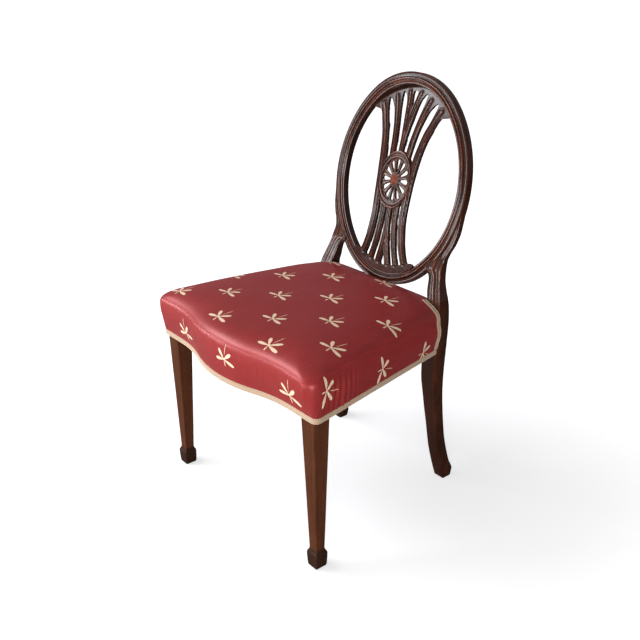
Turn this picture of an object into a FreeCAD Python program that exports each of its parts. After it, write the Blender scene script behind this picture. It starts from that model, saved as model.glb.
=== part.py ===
import FreeCAD, Part

import math
import os
import re
from types import SimpleNamespace

from FreeCAD import Placement, Rotation, Vector

# An oval back side chair in mahogany with an over-stuffed silk seat, in millimetres.
# +Z is up, the front of the seat faces -Y, and the origin is on the floor under the middle.

SIZES = {
    # Seat frame, seen from above
    "front_half": 286.0,
    "back_half": 215.5,
    "front_face": -254.5,
    "post_face": 161.5,
    "rail_bottom": 362.0,
    "rail_height": 60.0,
    "rail_thick": 26.0,
    "front_rail_thick": 33.0,
    "serpentine_rise": 35.0,
    "serpentine_half": 215.0,
    # Front legs with spade feet
    "leg_top": 41.0,
    "ankle_thick": 23.5,
    "ankle_high": 48.0,
    "ankle_set_in": 5.0,
    "collar_thick": 33.0,
    "collar_high": 37.0,
    "sole_thick": 30.0,
    # Back posts: leg below, stile above
    "post_width": 42.0,
    "post_foot_width": 31.0,
    "foot_face": 210.5,
    "foot_deep": 26.0,
    "heel_flare": 5.0,
    "heel_high": 22.0,
    "post_deep_seat": 42.0,
    "leg_deep": 34.0,
    "rear_rail_set_in": 7.0,
    "waist_half": 191.0,
    "waist_high": 569.0,
    "crotch_half": 161.0,
    # Oval back
    "oval_half_width": 217.0,
    "oval_half_height": 251.0,
    "oval_end_radius": 190.0,
    "oval_centre_y": 228.8,
    "oval_centre_z": 720.7,
    "rake": 12.0,
    "frame_width": 28.5,
    "frame_thick": 23.0,
    "arris_drop": 3.0,
    "reed_inset": 15.5,
    "reed_width": 7.0,
    "bead_inset": 23.0,
    "bead_width": 5.0,
    "cove_depth": 1.5,
    # Splat
    "splat_front": 3.0,
    "splat_thick": 9.0,
    "head_band": 17.0,
    "foot_band": 18.0,
    "head_end": 165.0,
    "foot_end": 180.0,
    "outer_rib_width": 20.0,
    "outer_rib_half": 47.3,
    "outer_rib_waist": -85.0,
    "inner_rib_width": 15.5,
    "inner_rib_half": 21.2,
    "centre_rib_width": 15.5,
    "head_branch_width": 13.5,
    "foot_branch_width": 15.5,
    "rib_groove": 1.6,
    "rib_bevel": 5.0,
    "tongue_deep": 8.0,
    "tongue_thick": 4.0,
    "tongue_half_angle": 32.0,
    # Pierced rosette
    "ring_half_width": 52.0,
    "ring_half_height": 69.0,
    "ring_hole_half_width": 43.0,
    "ring_hole_half_height": 51.0,
    "ring_raise": 2.0,
    "ring_step_width": 4.0,
    "ring_step_height": 6.0,
    "petal_thick": 6.0,
    "petal_set_back": 2.0,
    "petal_count": 12,
    "petal_tip_radius": 4.6,
    "petal_root_radius": 1.5,
    "petal_margin": 2.5,
    "hub_half_width": 13.0,
    "hub_half_height": 17.0,
    "boss_half_width": 11.5,
    "boss_half_height": 15.5,
    "boss_high": 5.0,
    "boss_peg": 6.0,
    # Joints
    "tenon_thick": 9.0,
    "tenon_long": 20.0,
    "tenon_shoulder": 8.0,
    "back_tenon_wide": 14.0,
    "back_tenon_long": 22.0,
    "fit": 0.15,
    # Corner blocks and their screws
    "block_leg": 50.0,
    "block_high": 34.0,
    "screw_head": 9.0,
    "screw_shank": 4.5,
    "screw_into": 16.0,
    # Webbing, hessian and tacks
    "web_wide": 50.0,
    "web_thick": 1.8,
    "web_lap": 24.0,
    "tack_head": 7.0,
    "tack_head_thick": 1.0,
    "tack_shank": 1.8,
    "tack_long": 10.0,
    "hessian_thick": 0.8,
    # Stuffed seat
    "seat_crown": 490.0,
    "bulge_drop": 40.0,
    "side_bulge": 4.0,
    "front_bulge": 16.0,
    "back_bulge": 2.0,
    "bulge_bow": 0.8,
    "dome_power": 4.5,
    "seat_middle": -40.0,
    "corner_radius": 12.0,
    "bulge_radius": 25.0,
    "crown_radius": 60.0,
    "cover_thick": 1.4,
    "wadding_thick": 1.6,
    "calico_thick": 0.8,
    "layer_gap": 0.3,
    "raw_edge": 2.0,
    "braid_wide": 13.5,
    "braid_thick": 2.2,
    "dust_thick": 0.8,
}

doc = FreeCAD.newDocument("OvalBackChair")
sheet = doc.addObject("Spreadsheet::Sheet", "Sizes")
for row, (alias, number) in enumerate(SIZES.items(), start=1):
    sheet.set(f"A{row}", alias)
    sheet.set(f"B{row}", str(number))
    sheet.setAlias(f"B{row}", alias)
doc.recompute()
dim = SimpleNamespace(**{alias: float(sheet.get(alias)) for alias in SIZES})

X, Y, Z = Vector(1, 0, 0), Vector(0, 1, 0), Vector(0, 0, 1)
PARTS = []


def cells(text):
    """An expression in which every size is read from its cell of the sheet."""
    return re.sub(r"[a-z_]+", lambda word: f"Sizes.{word[0]}" if word[0] in SIZES else word[0], text)


def add(kind, name, bound=None, **plain):
    """An object of the document, with its bound properties set by expressions."""
    item = doc.addObject(kind, name)
    for path, text in (bound or {}).items():
        item.setExpression(path, cells(text))
    for path, value in plain.items():
        setattr(item, path, value)
    return item


def box(name, x, y, z):
    """A block between two expressions along each axis."""
    bound = {}
    for axis, length, (low, high) in zip("xyz", ("Length", "Width", "Height"), (x, y, z)):
        bound[f"Placement.Base.{axis}"] = low
        bound[length] = f"({high}) - ({low})"
    return add("Part::Box", name, bound)


def taper(name, low, high, foot, head):
    """A four-sided taper: foot and head are (x0, x1, y0, y1) at the two heights."""
    bound = {"Ymin": low, "Ymax": high}
    for side, (x0, x1, y0, y1) in (("", foot), ("2", head)):
        bound.update({f"X{side}min": x0, f"X{side}max": x1})
        bound.update({f"Z{side}min": f"-({y1})", f"Z{side}max": f"-({y0})"})
    return add("Part::Wedge", name, bound, Placement=Placement(Vector(), Rotation(X, 90)))


def solid(name, shape):
    return add("Part::Feature", name, Shape=shape)


def fuse(name, *items):
    return add("Part::MultiFuse", name, Shapes=list(items), Refine=True)


def cut(name, base, *tools):
    tool = tools[0] if len(tools) == 1 else add("Part::Compound", name + "_holes", Links=list(tools))
    return add("Part::Cut", name, Base=base, Tool=tool)


def mirror(name, source):
    return add("Part::Mirroring", name, Source=source, Normal=X, Base=Vector())


def keep(item):
    """Marks a finished piece, which is written under its label."""
    item.Label = item.Name
    PARTS.append(item)
    return item


def flat(points):
    """A face in the plane of its points: a three-item entry is an arc (start, middle, end)."""
    edges = []
    for entry in points:
        edges.append(Part.Arc(*entry).toShape() if len(entry) == 3 else Part.makeLine(*entry))
    return Part.Face(Part.Wire(edges))


def polygon(corners):
    return Part.Face(Part.makePolygon(corners + corners[:1]))


def block(x, y, z):
    """A plain solid between two numbers along each axis."""
    return Part.makeBox(x[1] - x[0], y[1] - y[0], z[1] - z[0], Vector(x[0], y[0], z[0]))


# The oval back in its own plane: x across, y up the back, z towards the sitter.
# It is struck from four centres, so every moulding on it turns about one of them.

RAIL_TOP = dim.rail_bottom + dim.rail_height
SIDE_RADIUS = (
    dim.oval_half_width**2 + dim.oval_half_height**2 - 2 * dim.oval_half_height * dim.oval_end_radius
) / (2 * (dim.oval_half_width - dim.oval_end_radius))
SIDE_SHIFT = SIDE_RADIUS - dim.oval_half_width
END_SHIFT = dim.oval_half_height - dim.oval_end_radius
JOINT_ANGLE = math.degrees(math.atan2(END_SHIFT, SIDE_SHIFT))
BACK = Placement(
    Vector(0, dim.oval_centre_y, dim.oval_centre_z),
    Rotation(X, 90 - dim.rake),
)
BACK_BOUND = {"Placement.Base.y": "oval_centre_y", "Placement.Base.z": "oval_centre_z"}


def on_circle(centre, radius, angle, height=0.0):
    turn = math.radians(angle)
    return centre + Vector(radius * math.cos(turn), radius * math.sin(turn), height)


def moulding_section():
    """The frame moulding as (inset, height): cove, reed and bead between the two edges."""
    reed, bead = dim.reed_inset, dim.bead_inset
    half, small = dim.reed_width / 2, dim.bead_width / 2
    low = -dim.arris_drop
    return [
        (0.0, -dim.frame_thick),
        (0.0, low),
        ((reed - half) / 2, low - dim.cove_depth),
        (reed - half, low),
        (reed - half / 2, -0.4),
        (reed, 0.0),
        (reed + half / 2, -0.4),
        (reed + half, low),
        (bead - small / 2, low + 1.4),
        (bead + small / 2, low + 1.4),
        (bead + small, low - 0.5),
        (dim.frame_width, low - 0.8),
        (dim.frame_width, -dim.frame_thick),
    ]


def frame_arc(centre, radius, start, sweep):
    """A length of the frame, its moulding turned about one of the four centres."""
    corners = [centre + Vector(radius - inset, 0, height) for inset, height in moulding_section()]
    section = polygon(corners)
    section.rotate(centre, Z, start)
    return section.revolve(centre, Z, sweep)


def back_tenon(side, up, slack):
    """The tenon across one end joint of the oval, in its plane; slack makes its mortise."""
    turn = math.radians(JOINT_ANGLE)
    joint = on_circle(Vector(-SIDE_SHIFT, 0, 0), SIDE_RADIUS - dim.frame_width / 2, JOINT_ANGLE)
    along, aside = Vector(math.sin(turn), -math.cos(turn), 0), Vector(math.cos(turn), math.sin(turn), 0)
    half, reach = dim.back_tenon_wide / 2 + slack, dim.back_tenon_long + slack
    low = (dim.tenon_thick + dim.frame_thick) / -2 - slack
    corners = []
    for far, off in ((-4, -half), (reach, -half), (reach, half), (-4, half)):
        point = joint + along * far + aside * off
        corners.append(Vector(side * point.x, up * point.y, low))
    return polygon(corners).extrude(Vector(0, 0, dim.tenon_thick + 2 * slack))


def oval_prism(inset, low, high):
    """A plate with the outline of the oval, set in from its outer edge."""
    side, end = SIDE_RADIUS - inset, dim.oval_end_radius - inset
    edges = []
    for turn in (0, 180):
        for centre, radius, start, stop in (
            (Vector(-SIDE_SHIFT, 0, low), side, -JOINT_ANGLE, JOINT_ANGLE),
            (Vector(0, END_SHIFT, low), end, JOINT_ANGLE, 180 - JOINT_ANGLE),
        ):
            ends = [on_circle(centre, radius, angle) for angle in (start, (start + stop) / 2, stop)]
            edge = Part.Arc(*ends).toShape()
            edge.rotate(Vector(), Z, turn)
            edges.append(edge)
    return Part.Face(Part.Wire(edges)).extrude(Vector(0, 0, high - low))


def tongue(up, slack):
    """The curved tongue of the splat that enters the crest or the lower rail."""
    centre = Vector(0, up * END_SHIFT, 0)
    inner = dim.oval_end_radius - dim.frame_width
    middle = -dim.splat_front - dim.splat_thick / 2 - 1
    half = dim.tongue_thick / 2 + slack
    face = polygon(
        [
            centre + Vector(inner - 3, 0, middle - half),
            centre + Vector(inner + dim.tongue_deep + 2 * slack, 0, middle - half),
            centre + Vector(inner + dim.tongue_deep + 2 * slack, 0, middle + half),
            centre + Vector(inner - 3, 0, middle + half),
        ]
    )
    spread = dim.tongue_half_angle + math.degrees(slack / inner)
    face.rotate(centre, Z, up * 90 - spread)
    return face.revolve(centre, Z, 2 * spread)


def end_rail(name, up):
    """The crest rail (up 1) or the lower rail (up -1): an end arc with a tenon at each end."""
    start = JOINT_ANGLE if up > 0 else 180 + JOINT_ANGLE
    arc = frame_arc(Vector(0, up * END_SHIFT, 0), dim.oval_end_radius, start, 180 - 2 * JOINT_ANGLE)
    pegs = [back_tenon(side, up, 0.0) for side in (-1, 1)]
    body = fuse(name + "_body", solid(name + "_arc", arc), *[solid(name + "_tenon", peg) for peg in pegs])
    groove = solid(name + "_groove", tongue(up, dim.fit))
    rail = cut(name, body, groove)
    rail.Placement = BACK
    for path, text in BACK_BOUND.items():
        rail.setExpression(path, cells(text))
    return keep(rail)


# Splat: ribs that fan up and down from the rosette, two bands and the pierced ring

SPLAT_LOW = -dim.splat_front - dim.splat_thick


def rib_section(width, inner=0.0, outer=0.0):
    """A rib across its length: a raised middle between two grooves, bevelled behind."""
    half, top = width / 2, -dim.splat_front
    return [
        Vector(inner - half, 0, SPLAT_LOW),
        Vector(half - outer, 0, SPLAT_LOW),
        Vector(half, 0, top - 1.5),
        Vector(half, 0, top - 0.5),
        Vector(half / 2, 0, top - dim.rib_groove),
        Vector(half / 5, 0, top + 0.5),
        Vector(-half / 5, 0, top + 0.5),
        Vector(-half / 2, 0, top - dim.rib_groove),
        Vector(-half, 0, top - 0.5),
        Vector(-half, 0, top - 1.5),
    ]


def rib(section, start, rise, heading=0.0, radius=None):
    """A rib that climbs by rise from start, bending outwards, with its end and its heading."""
    face = polygon(section)
    if radius is None:
        bar, turned, end = face.extrude(Vector(0, rise, 0)), 0.0, Vector(0, rise, 0)
    else:
        first = math.sin(math.radians(heading))
        turned = math.degrees(math.asin(first + rise / radius))
        bar = face.revolve(Vector(radius, 0, 0), Z, heading - turned)
        swing = math.cos(math.radians(heading)) - math.cos(math.radians(turned))
        end = Vector(radius * swing, rise, 0)
    bar.rotate(Vector(), Z, -heading)
    bar.translate(start)
    return bar, start + end, turned


def fan(up):
    """The right-hand ribs above (up 1) or below (up -1) the rosette, as if all went up."""
    waist, outer_at, inner_at = dim.outer_rib_waist, dim.outer_rib_half, dim.inner_rib_half
    bevel = dim.rib_bevel
    if up > 0:
        broad = rib_section(dim.outer_rib_width)
        lower, point, heading = rib(broad, Vector(outer_at, waist, 0), 80 - waist, 0, 1125)
        upper = rib(broad, point, 122, heading, 182)[0]
        inner = rib(rib_section(dim.inner_rib_width), Vector(inner_at + 2.8, 45, 0), 172, 2.9, 450)[0]
        branch = rib(rib_section(dim.head_branch_width), Vector(0.3, 80, 0), 138, 4.4, 1110)[0]
        return [lower, upper, inner, branch]
    broad = rib_section(dim.outer_rib_width, bevel, 0.0)
    outer = rib(broad, Vector(outer_at, -waist, 0), 122, 0, 250)[0]
    inner = rib(rib_section(dim.inner_rib_width, bevel, bevel), Vector(inner_at, 55, 0), 162, 0, 470)[0]
    branch = rib(rib_section(dim.foot_branch_width, 0.0, bevel), Vector(0, 90, 0), 128, 0, 310)[0]
    return [outer, inner, branch]


def ellipse_prism(half_width, half_height, low, high):
    """An upright oval plate; its long axis runs up the back."""
    curve = Part.Ellipse(Vector(0, 0, low), half_height, half_width)
    face = Part.Face(Part.Wire(curve.toShape()))
    face.rotate(Vector(0, 0, low), Z, 90)
    return face.extrude(Vector(0, 0, high - low))


def petal(angle):
    """One pierced opening of the rosette: a drop with its round end outwards."""
    turn = math.radians(angle)
    tip, root = dim.petal_tip_radius, dim.petal_root_radius
    margin = dim.petal_margin
    reach = Vector(
        (dim.ring_hole_half_width - tip - margin) * math.cos(turn),
        (dim.ring_hole_half_height - tip - margin) * math.sin(turn),
        0,
    )
    near = Vector(
        (dim.hub_half_width + root + margin) * math.cos(turn),
        (dim.hub_half_height + root + margin) * math.sin(turn),
        0,
    )
    along = (reach - near).normalize()
    aside = Vector(-along.y, along.x, 0)
    low = Vector(0, 0, SPLAT_LOW - 1)
    face = flat(
        [
            (low + near + aside * root, low + reach + aside * tip),
            (low + reach + aside * tip, low + reach + along * tip, low + reach - aside * tip),
            (low + reach - aside * tip, low + near - aside * root),
            (low + near - aside * root, low + near - along * root, low + near + aside * root),
        ]
    )
    return face.extrude(Vector(0, 0, dim.splat_thick + 2))


def splat_shape():
    """The splat in one piece: bands, fanned ribs and the pierced rosette in its raised ring."""
    edge = dim.frame_width + dim.layer_gap
    low, high, reach = SPLAT_LOW, -dim.splat_front, dim.oval_half_height
    blank = oval_prism(edge, low, high)
    head = blank.cut(oval_prism(edge + dim.head_band, low, high))
    head = head.common(block((-reach, reach), (dim.head_end, reach), (low, high)))
    foot = blank.cut(oval_prism(edge + dim.foot_band, low, high))
    foot = foot.common(block((-reach, reach), (-reach, -dim.foot_end), (low, high)))
    bars = fan(1) + [bar.mirror(Vector(), Y) for bar in fan(-1)]
    bars += [bar.mirror(Vector(), X) for bar in bars]
    bevel = dim.rib_bevel
    bars.append(rib(rib_section(dim.centre_rib_width), Vector(0, 55, 0), 55)[0])
    bars.append(rib(rib_section(dim.centre_rib_width, bevel, bevel), Vector(0, 50, 0), 60)[0].mirror(Vector(), Y))
    wide, tall = dim.ring_hole_half_width, dim.ring_hole_half_height
    top = high + dim.ring_raise
    ring = ellipse_prism(dim.ring_half_width, dim.ring_half_height, low, top)
    step_wide, step_tall = dim.ring_half_width - dim.ring_step_width, dim.ring_half_height - dim.ring_step_height
    step = ellipse_prism(step_wide, step_tall, high, top + 1)
    ring = ring.cut(step).cut(ellipse_prism(wide, tall, low - 1, top))
    plate_top = high - dim.petal_set_back
    plate = ellipse_prism(wide + 1, tall + 1, plate_top - dim.petal_thick, plate_top)
    plate = plate.fuse(ellipse_prism(dim.hub_half_width, dim.hub_half_height, plate_top - dim.petal_thick, high))
    turn = 360 / dim.petal_count
    plate = plate.cut(Part.makeCompound([petal(index * turn) for index in range(int(dim.petal_count))]))
    web = head.fuse([foot] + bars).common(oval_prism(edge, low - 2, 2))
    web = web.cut(ellipse_prism(wide, tall, low - 1, 2))
    web = web.fuse([ring, plate, tongue(1, 0.0), tongue(-1, 0.0)])
    peg_hole = Part.makeCylinder(dim.boss_peg / 2 + dim.fit, 30, Vector(0, 0, low - 5))
    return web.cut(peg_hole).removeSplitter()


def place_on_back(item):
    item.Placement = BACK
    for path, text in BACK_BOUND.items():
        item.setExpression(path, cells(text))
    return item


def make_splat():
    keep(place_on_back(solid("splat", splat_shape())))
    dome = Part.makeSphere(1.0)
    grow = FreeCAD.Matrix()
    grow.scale(dim.boss_half_width, dim.boss_half_height, dim.boss_high)
    dome = dome.transformGeometry(grow)
    wide = 2 * dim.boss_half_height
    dome = dome.common(block((-wide, wide), (-wide, wide), (0, wide)))
    peg = Part.makeCylinder(dim.boss_peg / 2, 8.0, Vector(0, 0, -8.0))
    boss = dome.fuse(peg)
    boss.translate(Vector(0, 0, -dim.splat_front))
    keep(place_on_back(solid("rosette_boss", boss.removeSplitter())))


# Back posts: one piece each, the leg sawn to its two outlines and the stile with the oval side


def face_line(height, depth=0.0):
    """Where the raked back is at a height, depth behind its front plane."""
    slope = math.tan(math.radians(dim.rake))
    lean = depth / math.cos(math.radians(dim.rake))
    return dim.oval_centre_y + slope * (height - dim.oval_centre_z) + lean


def post_side():
    """The side outline of a post in the plane x = 0: sabre leg, seat and raked stile."""
    at = lambda y, z: Vector(0, y, z)
    face, back = dim.post_face, dim.post_face + dim.post_deep_seat
    foot, heel = dim.foot_face, dim.foot_face + dim.foot_deep
    seat, top = RAIL_TOP + 8, dim.oval_centre_z - 20
    knee = 300.0
    calf = face - 2 + dim.leg_deep
    join = dim.waist_high + 14
    return flat(
        [
            (at(foot, 0), at(heel, 0)),
            (at(heel, 0), at(heel + dim.heel_flare, dim.heel_high)),
            (at(heel + dim.heel_flare, dim.heel_high), at(heel - 8, 2.2 * dim.heel_high)),
            (at(heel - 8, 2.2 * dim.heel_high), at(calf + 10.5, 0.49 * knee), at(calf, 0.9 * knee)),
            (at(calf, 0.9 * knee), at(back, seat + 10)),
            (at(back, seat + 10), at(back + 1, seat + 70)),
            (at(back + 1, seat + 70), at(face_line(join, dim.frame_thick), join)),
            (at(face_line(join, dim.frame_thick), join), at(face_line(top, dim.frame_thick), top)),
            (at(face_line(top, dim.frame_thick), top), at(face_line(top, 5.5), top)),
            (at(face_line(top, 5.5), top), at(face_line(join, 5.5), join)),
            (at(face_line(join, 5.5), join), at(face_line(join - 40, -1.5), join - 40)),
            (at(face_line(join - 40, -1.5), join - 40), at(face, seat)),
            (at(face, seat), at(face - 2, knee)),
            (at(face - 2, knee), at(face + 14.3, 0.517 * knee), at(foot, 0)),
        ]
    )


def post_front():
    """The front outline of the right-hand post in the plane y = 0."""
    at = lambda x, z: Vector(x, 0, z)
    out, inn = dim.back_half, dim.back_half - dim.post_width
    foot_in = out - dim.post_foot_width
    waist, low = dim.waist_half, dim.waist_high
    crotch = dim.crotch_half
    shoulder = dim.oval_centre_z - 20
    widest = dim.oval_half_width
    return flat(
        [
            (at(foot_in, 0), at(out, 0)),
            (at(out, 0), at(out, low - 105)),
            (at(out, low - 105), at(out - 2.5, low - 88), at(out - 9, low - 68)),
            (at(out - 9, low - 68), at(waist, low), at(widest - 12, low + 37)),
            (at(widest - 12, low + 37), at(widest - 3, low + 72), at(widest - 1, shoulder)),
            (at(widest - 1, shoulder), at(widest - 20, shoulder)),
            (at(widest - 20, shoulder), at(waist - 26, low + 37)),
            (at(waist - 26, low + 37), at(waist - 46, low - 9)),
            (at(waist - 46, low - 9), at(waist - 50, low - 20)),
            (at(waist - 50, low - 20), at(crotch - 9, low - 28)),
            (at(crotch - 9, low - 28), at(crotch - 2, low - 32), at(crotch, low - 40)),
            (at(crotch, low - 40), at(crotch + 4.5, low - 65), at(inn, low - 94)),
            (at(inn, low - 94), at(inn, 300)),
            (at(inn, 300), at(foot_in - 3.2, 150), at(foot_in, 0)),
        ]
    )


def make_posts():
    wide, deep = 2 * dim.oval_half_width, 900.0
    side = post_side().extrude(Vector(wide, 0, 0))
    front = post_front()
    front.translate(Vector(0, -deep / 2, 0))
    front = front.extrude(Vector(0, deep, 0))
    leg = add("Part::MultiCommon", "post_leg", Shapes=[solid("post_side", side), solid("post_front", front)])
    arc = frame_arc(Vector(-SIDE_SHIFT, 0, 0), SIDE_RADIUS, -JOINT_ANGLE, 2 * JOINT_ANGLE)
    stile = place_on_back(solid("post_stile", arc))
    body = fuse("post_body", leg, stile)
    mortises = [place_on_back(solid("post_back_mortise", back_tenon(1, up, dim.fit))) for up in (1, -1)]
    mortises.append(solid("post_side_mortise", side_tenon(1, dim.fit)))
    mortises.append(solid("post_rear_mortise", rear_tenon(1, dim.fit)))
    right = cut("rear_post_right", body, *mortises)
    keep(right)
    keep(mirror("rear_post_left", right))


# Seat frame: rails tenoned into the legs and posts


def tenon_height(slack):
    low = dim.rail_bottom + dim.tenon_shoulder - slack
    high = RAIL_TOP - dim.tenon_shoulder + slack
    return low, high


def side_tenon(end, slack):
    """The side rail's tenon into the post (end 1) or the front leg (end -1)."""
    if end > 0:
        middle = dim.back_half - dim.rail_thick / 2
        length = (dim.post_face - 3, dim.post_face + dim.tenon_long - 2 + slack)
    else:
        middle = dim.front_half - dim.rail_thick / 2
        shoulder = dim.front_face + dim.leg_top
        length = (shoulder - dim.tenon_long - slack, shoulder + 3)
    half = dim.tenon_thick / 2 + slack
    return block((middle - half, middle + half), length, tenon_height(slack))


def rear_tenon(side, slack):
    """The rear rail's tenon into a post."""
    shoulder = dim.back_half - dim.post_width
    half = dim.tenon_thick / 2 + slack
    middle = rear_rail_back() - dim.tenon_thick
    peg = block((shoulder - 3, shoulder + dim.tenon_long + slack), (middle - half, middle + half), tenon_height(slack))
    return peg if side > 0 else peg.mirror(Vector(), X)


def front_tenon(side, slack):
    """The front rail's tenon into a front leg."""
    shoulder = dim.front_half - dim.leg_top
    half = dim.tenon_thick / 2 + slack
    middle = dim.front_face + dim.front_rail_thick / 2 - 2
    reach = dim.leg_top - dim.rail_thick / 2 - dim.tenon_thick / 2 - 2
    peg = block((shoulder - 3, shoulder + reach + slack), (middle - half, middle + half), tenon_height(slack))
    return peg if side > 0 else peg.mirror(Vector(), X)


def serpentine(out, share, height):
    """The bowed front line moved out by a distance: a full arc between two half arcs."""
    half, base = dim.serpentine_half, dim.front_face - out
    bend, rise = half / 2, dim.serpentine_rise * share
    turn = 2 * math.atan2(rise, half)
    radius = bend / math.sin(turn)
    along, drop = radius * math.sin(turn / 2), radius * (1 - math.cos(turn / 2))
    at = lambda x, y: Vector(x, y, height)
    left = (at(-half, base), at(along - half, base - drop), at(-bend, base - rise / 2))
    middle = (at(-bend, base - rise / 2), at(0, base - rise), at(bend, base - rise / 2))
    right = (at(bend, base - rise / 2), at(half - along, base - drop), at(half, base))
    return [left, middle, right]


def front_rail_shape():
    low = dim.rail_bottom
    end = dim.front_half - dim.leg_top
    back = dim.front_face + dim.front_rail_thick
    at = lambda x, y: Vector(x, y, low)
    bow = serpentine(0.0, 1.0, low)
    outline = [(at(-end, dim.front_face), bow[0][0])] + bow
    outline += [
        (bow[2][2], at(end, dim.front_face)),
        (at(end, dim.front_face), at(end, back)),
        (at(end, back), at(-end, back)),
        (at(-end, back), at(-end, dim.front_face)),
    ]
    return flat(outline).extrude(Vector(0, 0, dim.rail_height))


def side_line(y, inset=0.0):
    """How far from the middle the outer face of a side rail is at a depth."""
    start = dim.front_face + dim.leg_top
    share = (y - start) / (dim.post_face - start)
    return dim.front_half + (dim.back_half - dim.front_half) * share - inset


def side_rail_shape():
    start, end = dim.front_face + dim.leg_top, dim.post_face
    corners = [
        Vector(side_line(start), start, dim.rail_bottom),
        Vector(side_line(end), end, dim.rail_bottom),
        Vector(side_line(end, dim.rail_thick), end, dim.rail_bottom),
        Vector(side_line(start, dim.rail_thick), start, dim.rail_bottom),
    ]
    return polygon(corners).extrude(Vector(0, 0, dim.rail_height))


def make_front_legs():
    outer, face = "front_half", "front_face"
    leg_in, leg_back = "front_half - leg_top", "front_face + leg_top"
    top = box("leg_block", (leg_in, outer), (face, leg_back), ("rail_bottom", "rail_bottom + rail_height"))
    ankle = (
        "front_half - ankle_set_in - ankle_thick",
        "front_half - ankle_set_in",
        "front_face + ankle_set_in",
        "front_face + ankle_set_in + ankle_thick",
    )
    collar = ("front_half - collar_thick", outer, face, "front_face + collar_thick")
    spread = "(collar_thick - sole_thick) / 2"
    sole = (
        f"front_half - collar_thick + {spread}",
        f"front_half - {spread}",
        f"front_face + {spread}",
        f"front_face + collar_thick - {spread}",
    )
    shaft = taper("leg_shaft", "ankle_high", "rail_bottom", ankle, (leg_in, outer, face, leg_back))
    shoulder = taper("leg_shoulder", "collar_high", "ankle_high", collar, ankle)
    foot = taper("leg_foot", "0", "collar_high", sole, collar)
    body = fuse("leg_body", top, shaft, shoulder, foot)
    mortises = [solid("leg_side_mortise", side_tenon(-1, dim.fit))]
    mortises.append(solid("leg_front_mortise", front_tenon(1, dim.fit)))
    right = keep(cut("front_leg_right", body, *mortises))
    keep(mirror("front_leg_left", right))


def screws():
    """Corner block screws of the right-hand side as (point at the head, direction)."""
    low = dim.rail_bottom + dim.rail_height / 2
    half = dim.block_leg / 2 + 6
    front_x = dim.front_half - dim.leg_top - half
    back_x = dim.back_half - dim.post_width - half
    front_y = dim.front_face + dim.front_rail_thick
    back_y = rear_rail_face()
    front_side = dim.front_face + dim.leg_top + half
    back_side = dim.post_face - half
    lean = math.atan2(dim.front_half - dim.back_half, dim.post_face - dim.front_face - dim.leg_top)
    out = Vector(math.cos(lean), math.sin(lean), 0)
    places = [
        (Vector(front_x, front_y, low), Vector(0, -1, 0)),
        (Vector(back_x, back_y, low), Vector(0, 1, 0)),
        (Vector(side_line(front_side, dim.rail_thick), front_side, low), out),
        (Vector(side_line(back_side, dim.rail_thick), back_side, low), out),
    ]
    return places


def rear_rail_face():
    return dim.post_face + dim.rear_rail_set_in


def rear_rail_back():
    return rear_rail_face() + dim.rail_thick


def screw(place, way, slack=0.0):
    """A countersunk wood screw whose middle crosses the joint of block and rail."""
    back = 12.0
    head = place - way * back
    radius, shank = dim.screw_head / 2 + slack, dim.screw_shank / 2 + slack
    cone = Part.makeCone(radius, shank, 4.0, head, way)
    body = Part.makeCylinder(shank, back + dim.screw_into - 4.0 + slack, head + way * 4.0, way)
    shape = cone.fuse(body)
    if slack:
        return shape.fuse(Part.makeCylinder(radius, 60.0, head - way * 60.0, way))
    slot = Part.makeBox(dim.screw_head + 2, 1.2, 2.4, Vector(-radius - 1, -0.6, -1.2))
    slot.Placement = Placement(head, Rotation(Z, way))
    return shape.cut(slot)


def corner_block(front):
    """A three-cornered block that fills the angle of two rails and the leg between them."""
    low = dim.rail_bottom + (dim.rail_height - dim.block_high) / 2
    at = lambda x, y: Vector(x, y, low)
    if front:
        rail, leg = dim.front_face + dim.front_rail_thick, dim.front_face + dim.leg_top
        corner = dim.front_half - dim.leg_top
        far = leg + dim.block_leg
    else:
        rail, leg = rear_rail_face(), dim.post_face
        corner = dim.back_half - dim.post_width
        far = leg - dim.block_leg
    corners = [
        at(corner - dim.block_leg, rail),
        at(corner, rail),
        at(corner, leg),
        at(side_line(leg, dim.rail_thick), leg),
        at(side_line(far, dim.rail_thick), far),
    ]
    return polygon(corners).extrude(Vector(0, 0, dim.block_high))


def both(shapes):
    return shapes + [shape.mirror(Vector(), X) for shape in shapes]


def make_seat_frame():
    holes = Part.makeCompound(both([screw(place, way, dim.fit) for place, way in screws()]) + tack_holes())
    drill = solid("fixing_holes", holes)
    front = fuse(
        "front_rail_body",
        solid("front_rail_plank", front_rail_shape()),
        *[solid("front_rail_tenon", front_tenon(side, 0.0)) for side in (-1, 1)],
    )
    keep(cut("front_seat_rail", front, drill))
    side = fuse(
        "side_rail_body",
        solid("side_rail_plank", side_rail_shape()),
        *[solid("side_rail_tenon", side_tenon(end, 0.0)) for end in (-1, 1)],
    )
    right = keep(cut("side_seat_rail_right", side, drill))
    keep(mirror("side_seat_rail_left", right))
    shoulder = "back_half - post_width"
    face = "post_face + rear_rail_set_in"
    plank = box(
        "rear_rail_plank",
        (f"-({shoulder})", shoulder),
        (face, f"{face} + rail_thick"),
        ("rail_bottom", "rail_bottom + rail_height"),
    )
    rear = fuse("rear_rail_body", plank, *[solid("rear_rail_tenon", rear_tenon(side, 0.0)) for side in (-1, 1)])
    keep(cut("rear_seat_rail", rear, drill))
    for word, front_end in (("front", True), ("rear", False)):
        right = cut(f"{word}_corner_block_right", solid(f"{word}_block", corner_block(front_end)), drill)
        keep(right)
        keep(mirror(f"{word}_corner_block_left", right))
    keep(solid("corner_block_screws", Part.makeCompound(both([screw(*place) for place in screws()]))))


# Webbing, woven over and under across the seat frame, with its tacks

LONG_WEBS = 4
CROSS_WEBS = 3


def long_web_x(index):
    return (index - (LONG_WEBS - 1) / 2) * dim.web_wide * 1.6


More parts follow.
